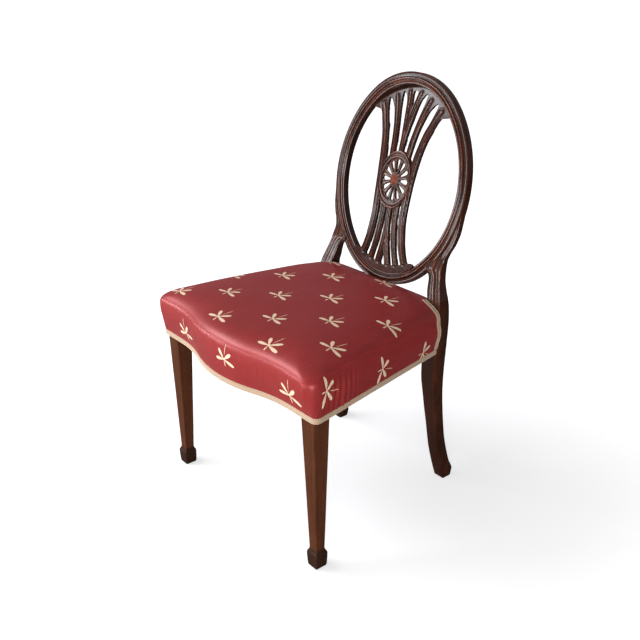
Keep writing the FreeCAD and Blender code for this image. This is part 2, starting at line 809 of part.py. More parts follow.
def cross_web_y(index):
    start = dim.front_face + dim.leg_top
    return start + (dim.post_face - start) * (index + 1) / (CROSS_WEBS + 1)


def web_line(ends, crossings, first_over):
    """The middle line of a strap as (distance, height): over one strap and under the next."""
    flat_height = RAIL_TOP + dim.web_thick / 2
    step = dim.web_thick / 2 + 0.1
    half = dim.web_wide / 2
    line = [(ends[0], flat_height)]
    over = first_over
    for place in crossings:
        height = flat_height + (step if over else -step)
        line += [(place - half - 1, height), (place + half + 1, height)]
        over = not over
    flat_start, flat_end = ends[0] + dim.web_lap + 4, ends[1] - dim.web_lap - 4
    line = [line[0], (flat_start, flat_height)] + line[1:] + [(flat_end, flat_height), (ends[1], flat_height)]
    return line


def web(line, across):
    """A strap of webbing from its middle line; across says which way it runs."""
    half = dim.web_thick / 2
    ring = [(place, height - half) for place, height in line]
    ring += [(place, height + half) for place, height in reversed(line)]
    if across:
        return polygon([Vector(place, 0, height) for place, height in ring]).extrude(Vector(0, dim.web_wide, 0))
    return polygon([Vector(0, place, height) for place, height in ring]).extrude(Vector(dim.web_wide, 0, 0))


def long_web_ends():
    front = dim.front_face + dim.front_rail_thick - dim.web_lap
    rear = rear_rail_face() + dim.web_lap
    return front, rear


def cross_web_end(index):
    return side_line(cross_web_y(index) + dim.web_wide / 2, 3.0)


def web_tacks():
    """Where the tacks go: three at each end of each strap."""
    places = []
    spread = dim.web_wide / 3
    for index in range(LONG_WEBS):
        front, rear = long_web_ends()
        for y in (front + dim.web_lap / 2, rear - dim.web_lap / 2):
            places += [Vector(long_web_x(index) + side * spread, y, RAIL_TOP + dim.web_thick) for side in (-1, 0, 1)]
    for index in range(CROSS_WEBS):
        reach = cross_web_end(index) - dim.web_lap / 2
        for x in (-reach, reach):
            places += [Vector(x, cross_web_y(index) + side * spread, RAIL_TOP + dim.web_thick) for side in (-1, 0, 1)]
    return places


def dust_tacks():
    """Tacks that hold the dust cover up to the rails."""
    places = []
    front = dim.front_face + dim.front_rail_thick / 2
    rear = rear_rail_face() + dim.rail_thick / 2
    for share in (-0.75, -0.25, 0.25, 0.75):
        places.append(Vector(share * dim.serpentine_half, front, dim.rail_bottom - dim.dust_thick))
        places.append(Vector(share * (dim.back_half - dim.post_width), rear, dim.rail_bottom - dim.dust_thick))
        y = dim.front_face + dim.leg_top + (share + 1) / 2 * (dim.post_face - dim.front_face - dim.leg_top)
        x = side_line(y, dim.rail_thick / 2)
        places += [Vector(x, y, dim.rail_bottom - dim.dust_thick), Vector(-x, y, dim.rail_bottom - dim.dust_thick)]
    return places


def tack(place, way, slack=0.0):
    """A cut tack with a square head and a square shank, driven along way from the cloth's face."""
    head, shank = dim.tack_head / 2 + slack, dim.tack_shank / 2 + slack
    low, high = sorted((0, -way * dim.tack_head_thick))
    cap = block((-head, head), (-head, head), (low, high))
    low, high = sorted((0, way * (dim.tack_long + slack)))
    pin = block((-shank, shank), (-shank, shank), (low, high))
    shape = pin if slack else cap.fuse(pin)
    shape.translate(place)
    return shape


def tack_holes():
    """Holes for every tack in the rails."""
    holes = [tack(place, -1, dim.fit) for place in web_tacks() + hessian_tacks()]
    return holes + [tack(place, 1, dim.fit) for place in dust_tacks()]


def make_webbing():
    holes = solid("web_tack_holes", Part.makeCompound([tack(place, -1, dim.fit) for place in web_tacks()]))
    crossings = [cross_web_y(index) for index in range(CROSS_WEBS)]
    for index in range(LONG_WEBS):
        strap = web(web_line(long_web_ends(), crossings, index % 2 == 0), across=False)
        strap.translate(Vector(long_web_x(index) - dim.web_wide / 2, 0, 0))
        keep(cut(f"long_web_{index + 1}", solid(f"long_strap_{index + 1}", strap), holes))
    for index in range(CROSS_WEBS):
        reach = cross_web_end(index)
        places = [long_web_x(item) for item in range(LONG_WEBS)]
        strap = web(web_line((-reach, reach), places, index % 2 == 1), across=True)
        strap.translate(Vector(0, cross_web_y(index) - dim.web_wide / 2, 0))
        keep(cut(f"cross_web_{index + 1}", solid(f"cross_strap_{index + 1}", strap), holes))
    keep(solid("webbing_tacks", Part.makeCompound([tack(place, -1) for place in web_tacks()])))


# Stuffed seat: the same swelling form, set in a little more for each layer

CLOTH_LEVEL = RAIL_TOP + dim.web_thick + dim.tack_head_thick + dim.layer_gap
STAND = dim.cover_thick + dim.wadding_thick + dim.calico_thick + 3 * dim.layer_gap


def seat_ring(height, outs, radius, bow, share=1.0):
    """One level of the seat as a wire: bowed front, round corners, tapering sides, back."""
    side, front, back = outs
    lean = math.atan2(dim.front_half - dim.back_half, dim.post_face - dim.front_face - dim.leg_top)
    front_y, back_y = dim.front_face - front, rear_rail_back() + back
    across = lambda y: side_line(y) + side / math.cos(lean)
    up_side = Vector(-math.sin(lean), math.cos(lean), 0)
    corners = []
    for y, along, aside in ((front_y, Vector(-1, 0, 0), up_side), (back_y, up_side * -1, Vector(-1, 0, 0))):
        corner = Vector(across(y), y, height)
        half = along.getAngle(aside) / 2
        reach = radius / math.tan(half)
        bisector = (along + aside).normalize()
        middle = corner + bisector * (radius / math.sin(half) - radius)
        corners.append((corner + along * reach, middle, corner + aside * reach))
    flip = lambda arc: tuple(Vector(-point.x, point.y, point.z) for point in reversed(arc))
    bowed = serpentine(front, bow, height)
    near, far = corners
    near_left, far_left = flip(near), flip(far)
    edges = [
        (near_left[2], bowed[0][0]),
        *bowed,
        (bowed[2][2], near[0]),
        near,
        (near[2], far[0]),
        far,
        (far[2], far_left[0]),
        far_left,
        (far_left[2], near_left[0]),
        near_left,
    ]
    centre = Vector(0, dim.seat_middle, height)
    shapes = []
    for entry in edges:
        moved = [centre + (point - centre) * share for point in entry]
        shapes.append(Part.Arc(*moved).toShape() if len(moved) == 3 else Part.makeLine(*moved))
    return Part.Wire(shapes)


def seat_form(inset, lower=0.0):
    """The swelling form of the seat, set in by inset all round; lower drops its open foot."""
    foot, bulge = dim.rail_bottom + dim.raw_edge - lower, dim.seat_crown - dim.bulge_drop
    start = dim.rail_bottom + 0.57 * (bulge - dim.rail_bottom)
    outs = lambda swell: (
        STAND - inset + dim.side_bulge * swell,
        STAND - inset + dim.front_bulge * swell,
        STAND - inset + dim.back_bulge * swell,
    )
    bow = lambda swell: 1 + (dim.bulge_bow - 1) * swell
    radius = lambda swell: dim.corner_radius + (dim.bulge_radius - dim.corner_radius) * swell
    wall = Part.makeLoft([seat_ring(height, outs(0), radius(0), 1.0) for height in (foot, start)], True, True)
    rings = []
    for step in range(5):
        swell = (1 - math.cos(math.pi * step / 4)) / 2
        height = start + (bulge - start) * step / 4
        rings.append(seat_ring(height, outs(swell), radius(swell), bow(swell)))
    rise = dim.bulge_drop - inset
    for angle in (8, 20, 34, 48, 61, 72, 81, 86, 89):
        turn = math.radians(angle)
        climb = math.sin(turn) ** (2 / dim.dome_power)
        share = math.cos(turn) ** (2 / dim.dome_power)
        corner = dim.bulge_radius + (dim.crown_radius - dim.bulge_radius) * climb**2
        rings.append(seat_ring(bulge + rise * climb, outs(1), corner, bow(1) * share, share))
    return wall.fuse(Part.makeLoft(rings, True, False))


def post_clearance(gap):
    """The room that the posts and the lower rail take out of the seat."""
    low, high = dim.rail_bottom - 60, dim.waist_high
    at = lambda y, z: Vector(dim.back_half - dim.post_width - gap, y, z)
    seat = RAIL_TOP + 8
    side = polygon(
        [
            at(dim.post_face - gap, low),
            at(400, low),
            at(400, high),
            at(face_line(high, -1.5) - gap, high),
            at(dim.post_face - gap, seat),
        ]
    )
    post = side.extrude(Vector(200, 0, 0))
    rail = oval_prism(-gap, -dim.frame_thick - gap, gap)
    rail.Placement = BACK
    return [post, post.mirror(Vector(), X), rail]


def layer(outer, thick):
    """A skin of the seat form, open below."""
    skin = seat_form(outer).cut(seat_form(outer + thick, 5.0))
    for room in post_clearance(dim.layer_gap):
        skin = skin.cut(room)
    return skin


def hessian_tacks():
    """Tacks between the straps, through the hessian into the top of each rail."""
    level = CLOTH_LEVEL + dim.hessian_thick
    front = dim.front_face + dim.front_rail_thick - dim.web_lap / 2
    rear = rear_rail_face() + dim.rail_thick / 2
    places = []
    for index in range(LONG_WEBS - 1):
        x = (long_web_x(index) + long_web_x(index + 1)) / 2
        places += [Vector(x, front, level), Vector(x, rear, level)]
    for index in range(CROSS_WEBS - 1):
        y = (cross_web_y(index) + cross_web_y(index + 1)) / 2
        x = side_line(y, dim.rail_thick / 2)
        places += [Vector(x, y, level), Vector(-x, y, level)]
    return places


def make_seat():
    low = CLOTH_LEVEL
    deep = rear_rail_back() - 3
    start = dim.front_face + 8
    corners = [
        Vector(dim.front_half - 8, start, low),
        Vector(dim.back_half - 8, dim.post_face - 2, low),
        Vector(dim.back_half - dim.post_width - 2, dim.post_face - 2, low),
        Vector(dim.back_half - dim.post_width - 2, deep, low),
    ]
    corners += [Vector(-corner.x, corner.y, corner.z) for corner in reversed(corners)]
    cloth = solid("hessian_cloth", polygon(corners).extrude(Vector(0, 0, dim.hessian_thick)))
    places = hessian_tacks()
    keep(cut("hessian", cloth, solid("hessian_tack_holes", Part.makeCompound([tack(p, -1, dim.fit) for p in places]))))
    keep(solid("hessian_tacks", Part.makeCompound([tack(place, -1) for place in places])))
    gap = dim.layer_gap
    above = block((-400, 400), (-400, 400), (low + dim.hessian_thick + gap, 600))
    pad = seat_form(STAND).common(above)
    for room in post_clearance(2.0):
        pad = pad.cut(room)
    pockets = []
    for place in places:
        half, high = dim.tack_head / 2 + gap, place.z + dim.tack_head_thick + gap
        pockets.append(block((place.x - half, place.x + half), (place.y - half, place.y + half), (low, high)))
    keep(solid("hair_stuffing", pad.cut(Part.makeCompound(pockets))))
    keep(solid("calico_cover", layer(STAND - gap - dim.calico_thick, dim.calico_thick)))
    keep(solid("wadding", layer(dim.cover_thick + gap, dim.wadding_thick)))
    keep(solid("seat_cover", layer(0.0, dim.cover_thick)))


def make_braid():
    """Braid over the raw edges of the cover: bottom edge, round the posts and at the back."""
    gap = 0.2
    band = seat_form(-gap - dim.braid_thick).cut(seat_form(-gap, 5.0))
    low = dim.rail_bottom + dim.raw_edge
    high = low + dim.braid_wide
    shoulder = dim.back_half - dim.post_width
    rooms = post_clearance(dim.layer_gap)
    bottom = band.common(block((-400, 400), (-400, 400), (low, high)))
    front = bottom.common(block((-400, 400), (-400, dim.post_face - dim.layer_gap), (low, high)))
    keep(solid("front_and_side_braid", front))
    back = bottom.common(block((-shoulder + 0.3, shoulder - 0.3), (dim.post_face + 20, 400), (low, high)))
    keep(solid("back_braid", back))
    wide = dim.braid_wide
    strip = polygon(
        [
            Vector(shoulder - 4, dim.post_face - dim.layer_gap - wide, high + 0.3),
            Vector(shoulder - 4, dim.post_face - dim.layer_gap, high + 0.3),
            Vector(shoulder - 4, dim.post_face - dim.layer_gap, RAIL_TOP + 8),
            Vector(shoulder - 4, face_line(dim.waist_high, -1.5) - dim.layer_gap, dim.waist_high),
            Vector(shoulder - 4, face_line(dim.waist_high, -1.5) - dim.layer_gap - wide, dim.waist_high),
            Vector(shoulder - 4, dim.post_face - dim.layer_gap - wide, RAIL_TOP + 8),
        ]
    ).extrude(Vector(100, 0, 0))
    rise = band.common(strip)
    for room in rooms:
        rise = rise.cut(room)
    right = keep(solid("post_braid_right", rise))
    keep(mirror("post_braid_left", right))


def make_dust_cover():
    low = dim.rail_bottom - dim.dust_thick
    inner = dim.front_half - dim.leg_top - 0.3
    leg = dim.front_face + dim.leg_top + 0.3
    post = dim.back_half - dim.post_width - 0.3
    corners = [
        Vector(inner, dim.front_face + 6, low),
        Vector(inner, leg, low),
        Vector(side_line(leg, 6), leg, low),
        Vector(side_line(dim.post_face - 0.3, 6), dim.post_face - 0.3, low),
        Vector(post, dim.post_face - 0.3, low),
        Vector(post, rear_rail_back() - 6, low),
    ]
    corners += [Vector(-corner.x, corner.y, corner.z) for corner in reversed(corners)]
    cloth = solid("dust_cloth", polygon(corners).extrude(Vector(0, 0, dim.dust_thick)))
    holes = solid("dust_tack_holes", Part.makeCompound([tack(place, 1, dim.fit) for place in dust_tacks()]))
    keep(cut("dust_cover", cloth, holes))
    keep(solid("dust_cover_tacks", Part.makeCompound([tack(place, 1) for place in dust_tacks()])))


make_posts()
end_rail("crest_rail", 1)
end_rail("lower_back_rail", -1)
make_splat()
make_front_legs()
make_seat_frame()
make_webbing()
make_seat()
make_braid()
make_dust_cover()
doc.recompute()

for item in doc.Objects:
    if "Invalid" in item.State or "Error" in item.State:
        raise RuntimeError(f"{item.Label} did not recompute: {item.State}")
for item in PARTS:
    if item.Shape.isNull() or not item.Shape.isValid() or not item.Shape.Solids:
        raise RuntimeError(f"{item.Label} has no sound solid")

os.makedirs("parts", exist_ok=True)
for item in PARTS:
    item.Shape.exportStep(f"parts/{item.Label}.step")
    print(item.Label, len(item.Shape.Solids), round(item.Shape.Volume))
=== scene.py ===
import math

import bpy
import numpy as np
from mathutils import Matrix, Vector
from mathutils.bvhtree import BVHTree
from mathutils.geometry import delaunay_2d_cdt
from mathutils.kdtree import KDTree


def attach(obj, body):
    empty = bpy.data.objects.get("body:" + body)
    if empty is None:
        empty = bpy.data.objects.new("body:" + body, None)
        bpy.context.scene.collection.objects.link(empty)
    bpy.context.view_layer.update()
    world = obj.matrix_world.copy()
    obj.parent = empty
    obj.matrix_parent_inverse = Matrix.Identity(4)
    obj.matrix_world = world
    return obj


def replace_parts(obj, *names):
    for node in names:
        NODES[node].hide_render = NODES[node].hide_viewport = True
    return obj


# Looks of the oval back side chair. Shapes are worked in millimetres, as the source is,
# and put into metres when a piece is made.

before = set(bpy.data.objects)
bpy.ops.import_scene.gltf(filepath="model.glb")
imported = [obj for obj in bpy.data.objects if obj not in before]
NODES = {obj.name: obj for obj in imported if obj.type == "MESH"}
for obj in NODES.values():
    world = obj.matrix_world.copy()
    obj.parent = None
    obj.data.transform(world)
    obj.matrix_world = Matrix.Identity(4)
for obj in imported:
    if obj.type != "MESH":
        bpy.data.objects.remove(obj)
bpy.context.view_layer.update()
SCENE = bpy.context.scene
MM = 0.001


def mix(low, high, share):
    return low + (high - low) * share


def ease(low, high, value):
    """0 below low, 1 above high, and a smooth step between them."""
    share = np.clip((np.asarray(value, float) - low) / (high - low), 0, 1)
    return share * share * (3 - 2 * share)


def through(keys, at):
    """A smooth curve through (place, value) pairs that doesn't overshoot them."""
    xs, ys = np.array(keys, float).T
    slopes = np.diff(ys) / np.diff(xs)
    tangents = np.concatenate([[slopes[0]], np.zeros(len(xs) - 2), [slopes[-1]]])
    for k in range(1, len(xs) - 1):
        if slopes[k - 1] * slopes[k] > 0:
            tangents[k] = 2 * slopes[k - 1] * slopes[k] / (slopes[k - 1] + slopes[k])
    at = np.clip(np.asarray(at, float), xs[0], xs[-1])
    k = np.clip(np.searchsorted(xs, at, side="right") - 1, 0, len(xs) - 2)
    wide = xs[k + 1] - xs[k]
    t = (at - xs[k]) / wide
    start, end = ys[k], ys[k + 1]
    m0, m1 = tangents[k] * wide, tangents[k + 1] * wide
    return (
        start * (2 * t**3 - 3 * t**2 + 1)
        + m0 * (t**3 - 2 * t**2 + t)
        + end * (3 * t**2 - 2 * t**3)
        + m1 * (t**3 - t**2)
    )


def rounded(points, steps=6, closed=False):
    """Catmull-Rom curve through points, as an array."""
    p = np.array(points, float)
    count = len(p)
    spans = count if closed else count - 1
    out = []
    for i in range(spans):
        if closed:
            a, b, c, d = (p[(i + k) % count] for k in (-1, 0, 1, 2))
        else:
            a, b, c, d = p[max(i - 1, 0)], p[i], p[i + 1], p[min(i + 2, count - 1)]
        for s in range(steps):
            t = s / steps
            out.append(
                0.5
                * (
                    2 * b
                    + (c - a) * t
                    + (2 * a - 5 * b + 4 * c - d) * t**2
                    + (3 * b - a - 3 * c + d) * t**3
                )
            )
    if not closed:
        out.append(p[-1])
    return np.array(out)


# Making a piece from points and faces


def piece(name, points, faces, material, slot, sharp=35.0, **marks):
    """A mesh object from points in millimetres, with its marks kept on its points."""
    mesh = bpy.data.meshes.new(name)
    mesh.from_pydata((np.asarray(points, float) * MM).tolist(), [], faces)
    for mark, values in marks.items():
        values = np.asarray(values, np.float32)
        kind, field = ("FLOAT_VECTOR", "vector") if values.ndim == 2 else ("FLOAT", "value")
        mesh.attributes.new(mark, kind, "POINT").data.foreach_set(field, values.ravel())
    mesh.shade_smooth()
    mesh.set_sharp_from_angle(angle=math.radians(sharp))
    mesh.materials.append(material)
    made = bpy.data.objects.new(name, mesh)
    SCENE.collection.objects.link(made)
    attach(made, "root")
    return made


def skin(rings, closed_rows=False, caps=True):
    """Faces that join rings of equal length: (points, faces)."""
    rings = np.array(rings, float)
    rows, around = rings.shape[:2]
    faces = []
    for i in range(rows if closed_rows else rows - 1):
        low, high = i * around, (i + 1) % rows * around
        for j in range(around):
            k = (j + 1) % around
            faces.append((low + j, low + k, high + k, high + j))
    if caps and not closed_rows:
        faces.append(tuple(reversed(range(around))))
        faces.append(tuple(range((rows - 1) * around, rows * around)))
    return rings.reshape(-1, 3), faces


def outward(points, faces):
    """The same faces, turned to look outwards."""
    p = np.asarray(points, float)
    volume = 0.0
    for face in faces:
        for k in range(1, len(face) - 1):
            a, b, c = p[face[0]], p[face[k]], p[face[k + 1]]
            volume += np.dot(a, np.cross(b, c))
    return faces if volume > 0 else [tuple(reversed(face)) for face in faces]


def joined(*parts):
    """Several (points, faces, marks) shells as one."""
    points, faces, marks, start = [], [], {}, 0
    for part_points, part_faces, part_marks in parts:
        points.append(np.asarray(part_points, float))
        faces += [tuple(index + start for index in face) for face in part_faces]
        for mark, values in part_marks.items():
            marks.setdefault(mark, []).append(np.asarray(values, float))
        start += len(part_points)
    return np.concatenate(points), faces, {mark: np.concatenate(v) for mark, v in marks.items()}


def mirrored(points, faces):
    flipped = np.array(points, float)
    flipped[:, 0] *= -1
    return flipped, [tuple(reversed(face)) for face in faces]


def wooden(rings, grain, wear, closed_rows=False):
    """A shell over rings, with the grain and the wear of its wood as marks."""
    points, faces = skin(rings, closed_rows)
    marks = {"grain": np.concatenate(grain) * MM, "wear": np.concatenate(wear)}
    return points, outward(points, faces), marks


def ellipse(wide, high, step=3):
    """Points around an ellipse, a few degrees apart."""
    turns = np.radians(np.arange(0, 360, step))
    return np.stack([wide * np.cos(turns), high * np.sin(turns)], -1)


# Oval back: its own plane is (across, up the back, towards the sitter)

BACK_Y, BACK_Z = 228.8, 720.7
RAKE = math.radians(12)
HALF_WIDE, HALF_HIGH, END_RADIUS = 217.0, 251.0, 190.0
SIDE_RADIUS = (HALF_WIDE**2 + HALF_HIGH**2 - 2 * HALF_HIGH * END_RADIUS) / (2 * (HALF_WIDE - END_RADIUS))
SIDE_SHIFT = SIDE_RADIUS - HALF_WIDE
END_SHIFT = HALF_HIGH - END_RADIUS
JOINT = math.degrees(math.atan2(END_SHIFT, SIDE_SHIFT))
FRAME_WIDTH, FRAME_THICK, FRAME_MIDDLE = 28.5, 23.0, 14


def on_back(local):
    """Points of the back's own plane, put into the chair."""
    local = np.asarray(local, float)
    across, up, out = local[..., 0], local[..., 1], local[..., 2]
    return np.stack(
        [
            across,
            BACK_Y + up * math.sin(RAKE) - out * math.cos(RAKE),
            BACK_Z + up * math.cos(RAKE) + out * math.sin(RAKE),
        ],
        -1,
    )


# inset from the outer edge, height, wear
MOULDING = [
    (3.2, -23.0, 0.1), (1.0, -22.2, 0.3), (0.0, -19.8, 0.1), (0.0, -11.0, 0.0), (0.0, -4.6, 0.2),
    (0.5, -3.1, 0.5), (1.6, -2.5, 0.5), (3.0, -3.2, 0.2), (5.6, -4.3, 0.0), (8.4, -4.0, 0.0),
    (10.0, -2.9, 0.3), (10.9, -2.7, 0.4), (11.5, -3.9, 0.0), (12.0, -4.2, 0.0), (12.6, -2.0, 0.3),
    (13.8, -0.5, 0.8), (15.5, 0.0, 1.0), (17.2, -0.5, 0.8), (18.4, -2.0, 0.3), (19.0, -4.2, 0.0),
    (19.6, -4.3, 0.0), (20.2, -2.8, 0.5), (21.6, -1.7, 1.0), (23.0, -1.7, 1.0), (24.3, -2.8, 0.2),
    (24.8, -4.0, 0.0), (26.3, -4.3, 0.0), (27.8, -4.3, 0.3), (28.5, -5.2, 0.4), (28.5, -12.0, 0.0),
    (28.5, -20.5, 0.1), (27.4, -22.4, 0.3), (25.6, -23.0, 0.1),
]


def frame_length(centre, radius, start, sweep):
    """A length of the oval's moulding turned about one of the four centres."""
    inset, height, worn = np.array(MOULDING).T
    count = max(12, int(abs(sweep) / 1.1))
    rings, grain = [], []
    for step in range(count + 1):
        turn = math.radians(start + sweep * step / count)
        reach = radius - inset
        across = centre[0] + reach * math.cos(turn)
        up = centre[1] + reach * math.sin(turn)
        rings.append(on_back(np.stack([across, up, height], -1)))
        along = np.full(len(inset), (radius - FRAME_MIDDLE) * turn)
        grain.append(np.stack([along, inset, height], -1))
    return wooden(rings, grain, [worn] * (count + 1))


# Splat: an outline with its gaps, worked over with a carver's section round each rib


def splat_bow(up):
    """How far the ribs' faces stand forwards of the plane of the reed."""
    return 5.7 - (np.asarray(up, float) + 55) ** 2 / 3000


# (across, up) of the middle of each rib with its half width, from foot to head
OUTER_RIB = [
    (70.5, -187, 9.5), (65.2, -175, 9.5), (61.5, -165, 10), (56.7, -150, 10), (54.5, -140, 10),
    (48.9, -105, 10), (47.3, -80, 10), (47.5, -60, 10), (48.2, -40, 10), (50, 0, 10), (51.8, 20, 10),
    (53.7, 40, 10), (56.2, 60, 10), (59.5, 80, 10), (65.7, 105, 10), (70.9, 120, 10.5), (77.6, 136, 11),
    (83.2, 150, 11.5), (90, 162, 12), (95, 171, 12),
]
HEAD_RIB = [
    (24, 45, 7.7), (28.9, 90, 7.7), (33.8, 120, 7.7), (39, 142, 8.4), (46, 165, 9.3), (51, 180, 10),
    (55, 191, 10.5),
]
FOOT_RIB = [
    (21.2, -50, 7.7), (21.7, -80, 7.7), (24.9, -120, 7.7), (30, -150, 7.8), (36.2, -175, 8),
    (42.5, -197, 8),
]
HEAD_BRANCH = [
    (0, 60, 7.8), (0.6, 90, 7.4), (3.8, 120, 7.0), (7.7, 150, 7.2), (11.8, 180, 7.6), (16.5, 200, 8.4),
    (18.5, 206, 9),
]
FOOT_BRANCH = [
    (0, -60, 7.6), (0.4, -100, 7.4), (3.6, -135, 7.6), (8.3, -165, 8), (12.4, -185, 8.2),
    (16.5, -201, 8.2),
]

HEAD_OUTER_GAP = [
    (31, 30), (33.8, 60), (36.6, 90), (41.5, 120), (47, 140), (54, 160), (60, 170), (67, 180),
    (74, 185.6), (79, 187.5), (80.8, 184), (79.4, 172), (76, 160), (69, 140), (60.4, 120), (52.5, 90),
    (46.2, 60), (42.7, 30),
]
HEAD_INNER_GAP = [
    (7.8, 45), (7.9, 90), (10.7, 120), (15, 150), (19.6, 178), (23.5, 190), (30, 200.5), (36, 205.4),
    (39.4, 204.5), (40, 196), (38.4, 182), (35.4, 168), (29.5, 140), (26, 120), (21.2, 90), (17.2, 45),
]
HEAD_MIDDLE_GAP = [(0, 166), (3.2, 179), (5.9, 192), (7.5, 202), (6.2, 208), (0, 209.5)]
FOOT_OUTER_GAP = [
    (31, -40), (29.5, -80), (30.4, -100), (33, -120), (37.8, -150), (43.6, -174), (49.2, -190),
    (53, -195), (58, -195), (61.8, -191.5), (60, -186), (55.2, -175), (46.7, -150), (41, -120),
    (38.2, -100), (37.3, -80), (38.2, -40),
]
FOOT_INNER_GAP = [
    (7.6, -45), (7.6, -100), (9.2, -120), (13.4, -150), (18.4, -174), (23.6, -194), (25.6, -201),
    (30, -203.4), (34.6, -201.4), (34.6, -194), (28.6, -175), (22.2, -150), (17.4, -120), (15.1, -100),
    (14, -80), (13.5, -45),
]
FOOT_MIDDLE_GAP = [(0, -167), (2.6, -178), (5.2, -192), (7.2, -203), (5, -206), (0, -206.8)]
RIB_SIDE = [
    (127, 161.8), (119, 158.8), (110, 157.2), (101, 156), (95.6, 152.5), (89, 139.5), (82, 120),
    (75.8, 105), (69.6, 80), (66.2, 60), (63.7, 40), (61.8, 20), (60, 0), (58.2, -40), (57.3, -80),
    (58.9, -105), (64.5, -140), (66.8, -150), (71.6, -165), (75.4, -175), (80, -182.5), (85.5, -185),
    (91, -181.8), (97, -181.2), (101, -185.5), (101.5, -189),
]
RIBS = (OUTER_RIB, HEAD_RIB, FOOT_RIB, HEAD_BRANCH, FOOT_BRANCH)
SPLAT_THICK = 9.0
SPLAT_LIP = 2.2
RAIL_REACH = END_RADIUS - FRAME_WIDTH + SPLAT_LIP
MESH_STEP = 1.4


def rail_inner(start, stop, up, count):
    """Points along the inside of the crest (up 1) or lower rail (up -1), just inside its wood."""
    turns = np.radians(np.linspace(start, stop, count))
    return np.stack([RAIL_REACH * np.cos(turns), up * (END_SHIFT + RAIL_REACH * np.sin(turns))], -1)


def rib_field(points):
    """Share of the half width at which each point lies from the nearest rib's middle."""
    nearest = np.full(len(points), 9.0)
    for keys in RIBS:
        line = rounded(keys, 8)
        for side in (1, -1):
            x, y, half = line[:, 0] * side, line[:, 1], line[:, 2]
            for i in range(len(line) - 1):
                start = np.array([x[i], y[i]])
                step = np.array([x[i + 1] - x[i], y[i + 1] - y[i]])
                t = np.clip(((points - start) @ step) / (step @ step), 0, 1)
                gap = np.linalg.norm(points - start - t[:, None] * step, axis=1)
                share = gap / mix(half[i], half[i + 1], t)
                nearer = share < nearest
                nearest[nearer] = share[nearer]
    return nearest


def rib_guides():
    """Points along each rib at the breaks of its section, for an even mesh."""
    found, shares = [], []
    for keys in RIBS:
        line = rounded(keys, 8)
        run = np.concatenate([[0], np.cumsum(np.linalg.norm(np.diff(line[:, :2], axis=0), axis=1))])
        at = np.linspace(0, run[-1], int(run[-1] / 2.2))
        x, y, half = (np.interp(at, run, line[:, k]) for k in range(3))
        ahead = np.gradient(np.stack([x, y], -1), axis=0)
        ahead /= np.linalg.norm(ahead, axis=1, keepdims=True)
        for share in (-0.86, -0.68, -0.5, -0.25, 0.0, 0.25, 0.5, 0.68, 0.86):
            middle = np.stack([x - ahead[:, 1] * half * share, y + ahead[:, 0] * half * share], -1)
            for side in (1, -1):
                found.append(middle * (side, 1))
                shares.append(np.full(len(middle), abs(share)))
    found, shares = np.concatenate(found), np.concatenate(shares)
    found = found[np.abs(rib_field(found) - shares) < 0.03]
    _, first = np.unique(np.round(found / 0.8), axis=0, return_index=True)
    return found[np.sort(first)]


def rib_section(share):
    """The carver's section: a round reed between two hollows, with flat edges."""
    reed = 2.6 * np.cos(math.pi / 2 * np.clip(share / 0.5, 0, 1)) ** 0.8
    return -1.7 + reed + 1.6 * ease(0.5, 0.86, share)


def inside(points, outline):
    """Which points lie inside a closed outline."""
    x, y = points[:, 0], points[:, 1]
    within = np.zeros(len(points), bool)
    for (x0, y0), (x1, y1) in zip(outline, np.roll(outline, -1, axis=0)):
        crosses = (y0 > y) != (y1 > y)
        at = (x1 - x0) * (y - y0) / (y1 - y0 if y1 != y0 else 1e-9) + x0
        within ^= crosses & (x < at)
    return within


def clear_of(points, others, margin):
    """The points that keep a margin from the others."""
    tree = KDTree(len(others))
    for k, (x, y) in enumerate(others):
        tree.insert((x, y, 0), k)
    tree.balance()
    return points[[tree.find((x, y, 0))[2] > margin for x, y in points]]


def plate(outline, holes, step, margin, guides=None):
    """A flat outline with holes, meshed finely along any guide points: (points, triangles, on edge)."""
    loops = [outline] + holes
    low, high = outline.min(0), outline.max(0)
    rows = np.arange(low[1], high[1], step * 0.87)
    grid = []
    for k, up in enumerate(rows):
        across = np.arange(low[0] + (k % 2) * step / 2, high[0], step)
        grid.append(np.stack([across, np.full(len(across), up)], -1))
    grid = np.concatenate(grid)
    edge = np.concatenate(loops)
    grid = clear_of(grid, edge, margin)
    if guides is not None:
        guides = clear_of(guides, edge, 0.9)
        grid = np.concatenate([guides, clear_of(grid, guides, margin)])
    keep = inside(grid, outline)
    for hole in holes:
        keep &= ~inside(grid, hole)
    grid = grid[keep]
    points = [Vector(p) for p in np.concatenate([edge, grid])]
    links, start = [], 0
    for loop in loops:
        links += [(start + k, start + (k + 1) % len(loop)) for k in range(len(loop))]
        start += len(loop)
    found, _, triangles, sources, _, _ = delaunay_2d_cdt(points, links, [], 0, 1e-5)
    flat = np.array([tuple(p) for p in found])
    on_edge = np.array([any(k < len(edge) for k in source) for source in sources])
    middles = flat[np.array(triangles)].mean(1)
    keep = inside(middles, outline)
    for hole in holes:
        keep &= ~inside(middles, hole)
    return flat, [tuple(t) for t, good in zip(triangles, keep) if good], on_edge


def upward(flat, triangles):
    """The triangles of a flat mesh, each turned to look up."""
    turned = []
    for a, b, c in triangles:
        p, q, r = flat[a], flat[b], flat[c]
        up = (q[0] - p[0]) * (r[1] - p[1]) - (q[1] - p[1]) * (r[0] - p[0])
        turned.append((a, b, c) if up >= 0 else (a, c, b))
    return turned


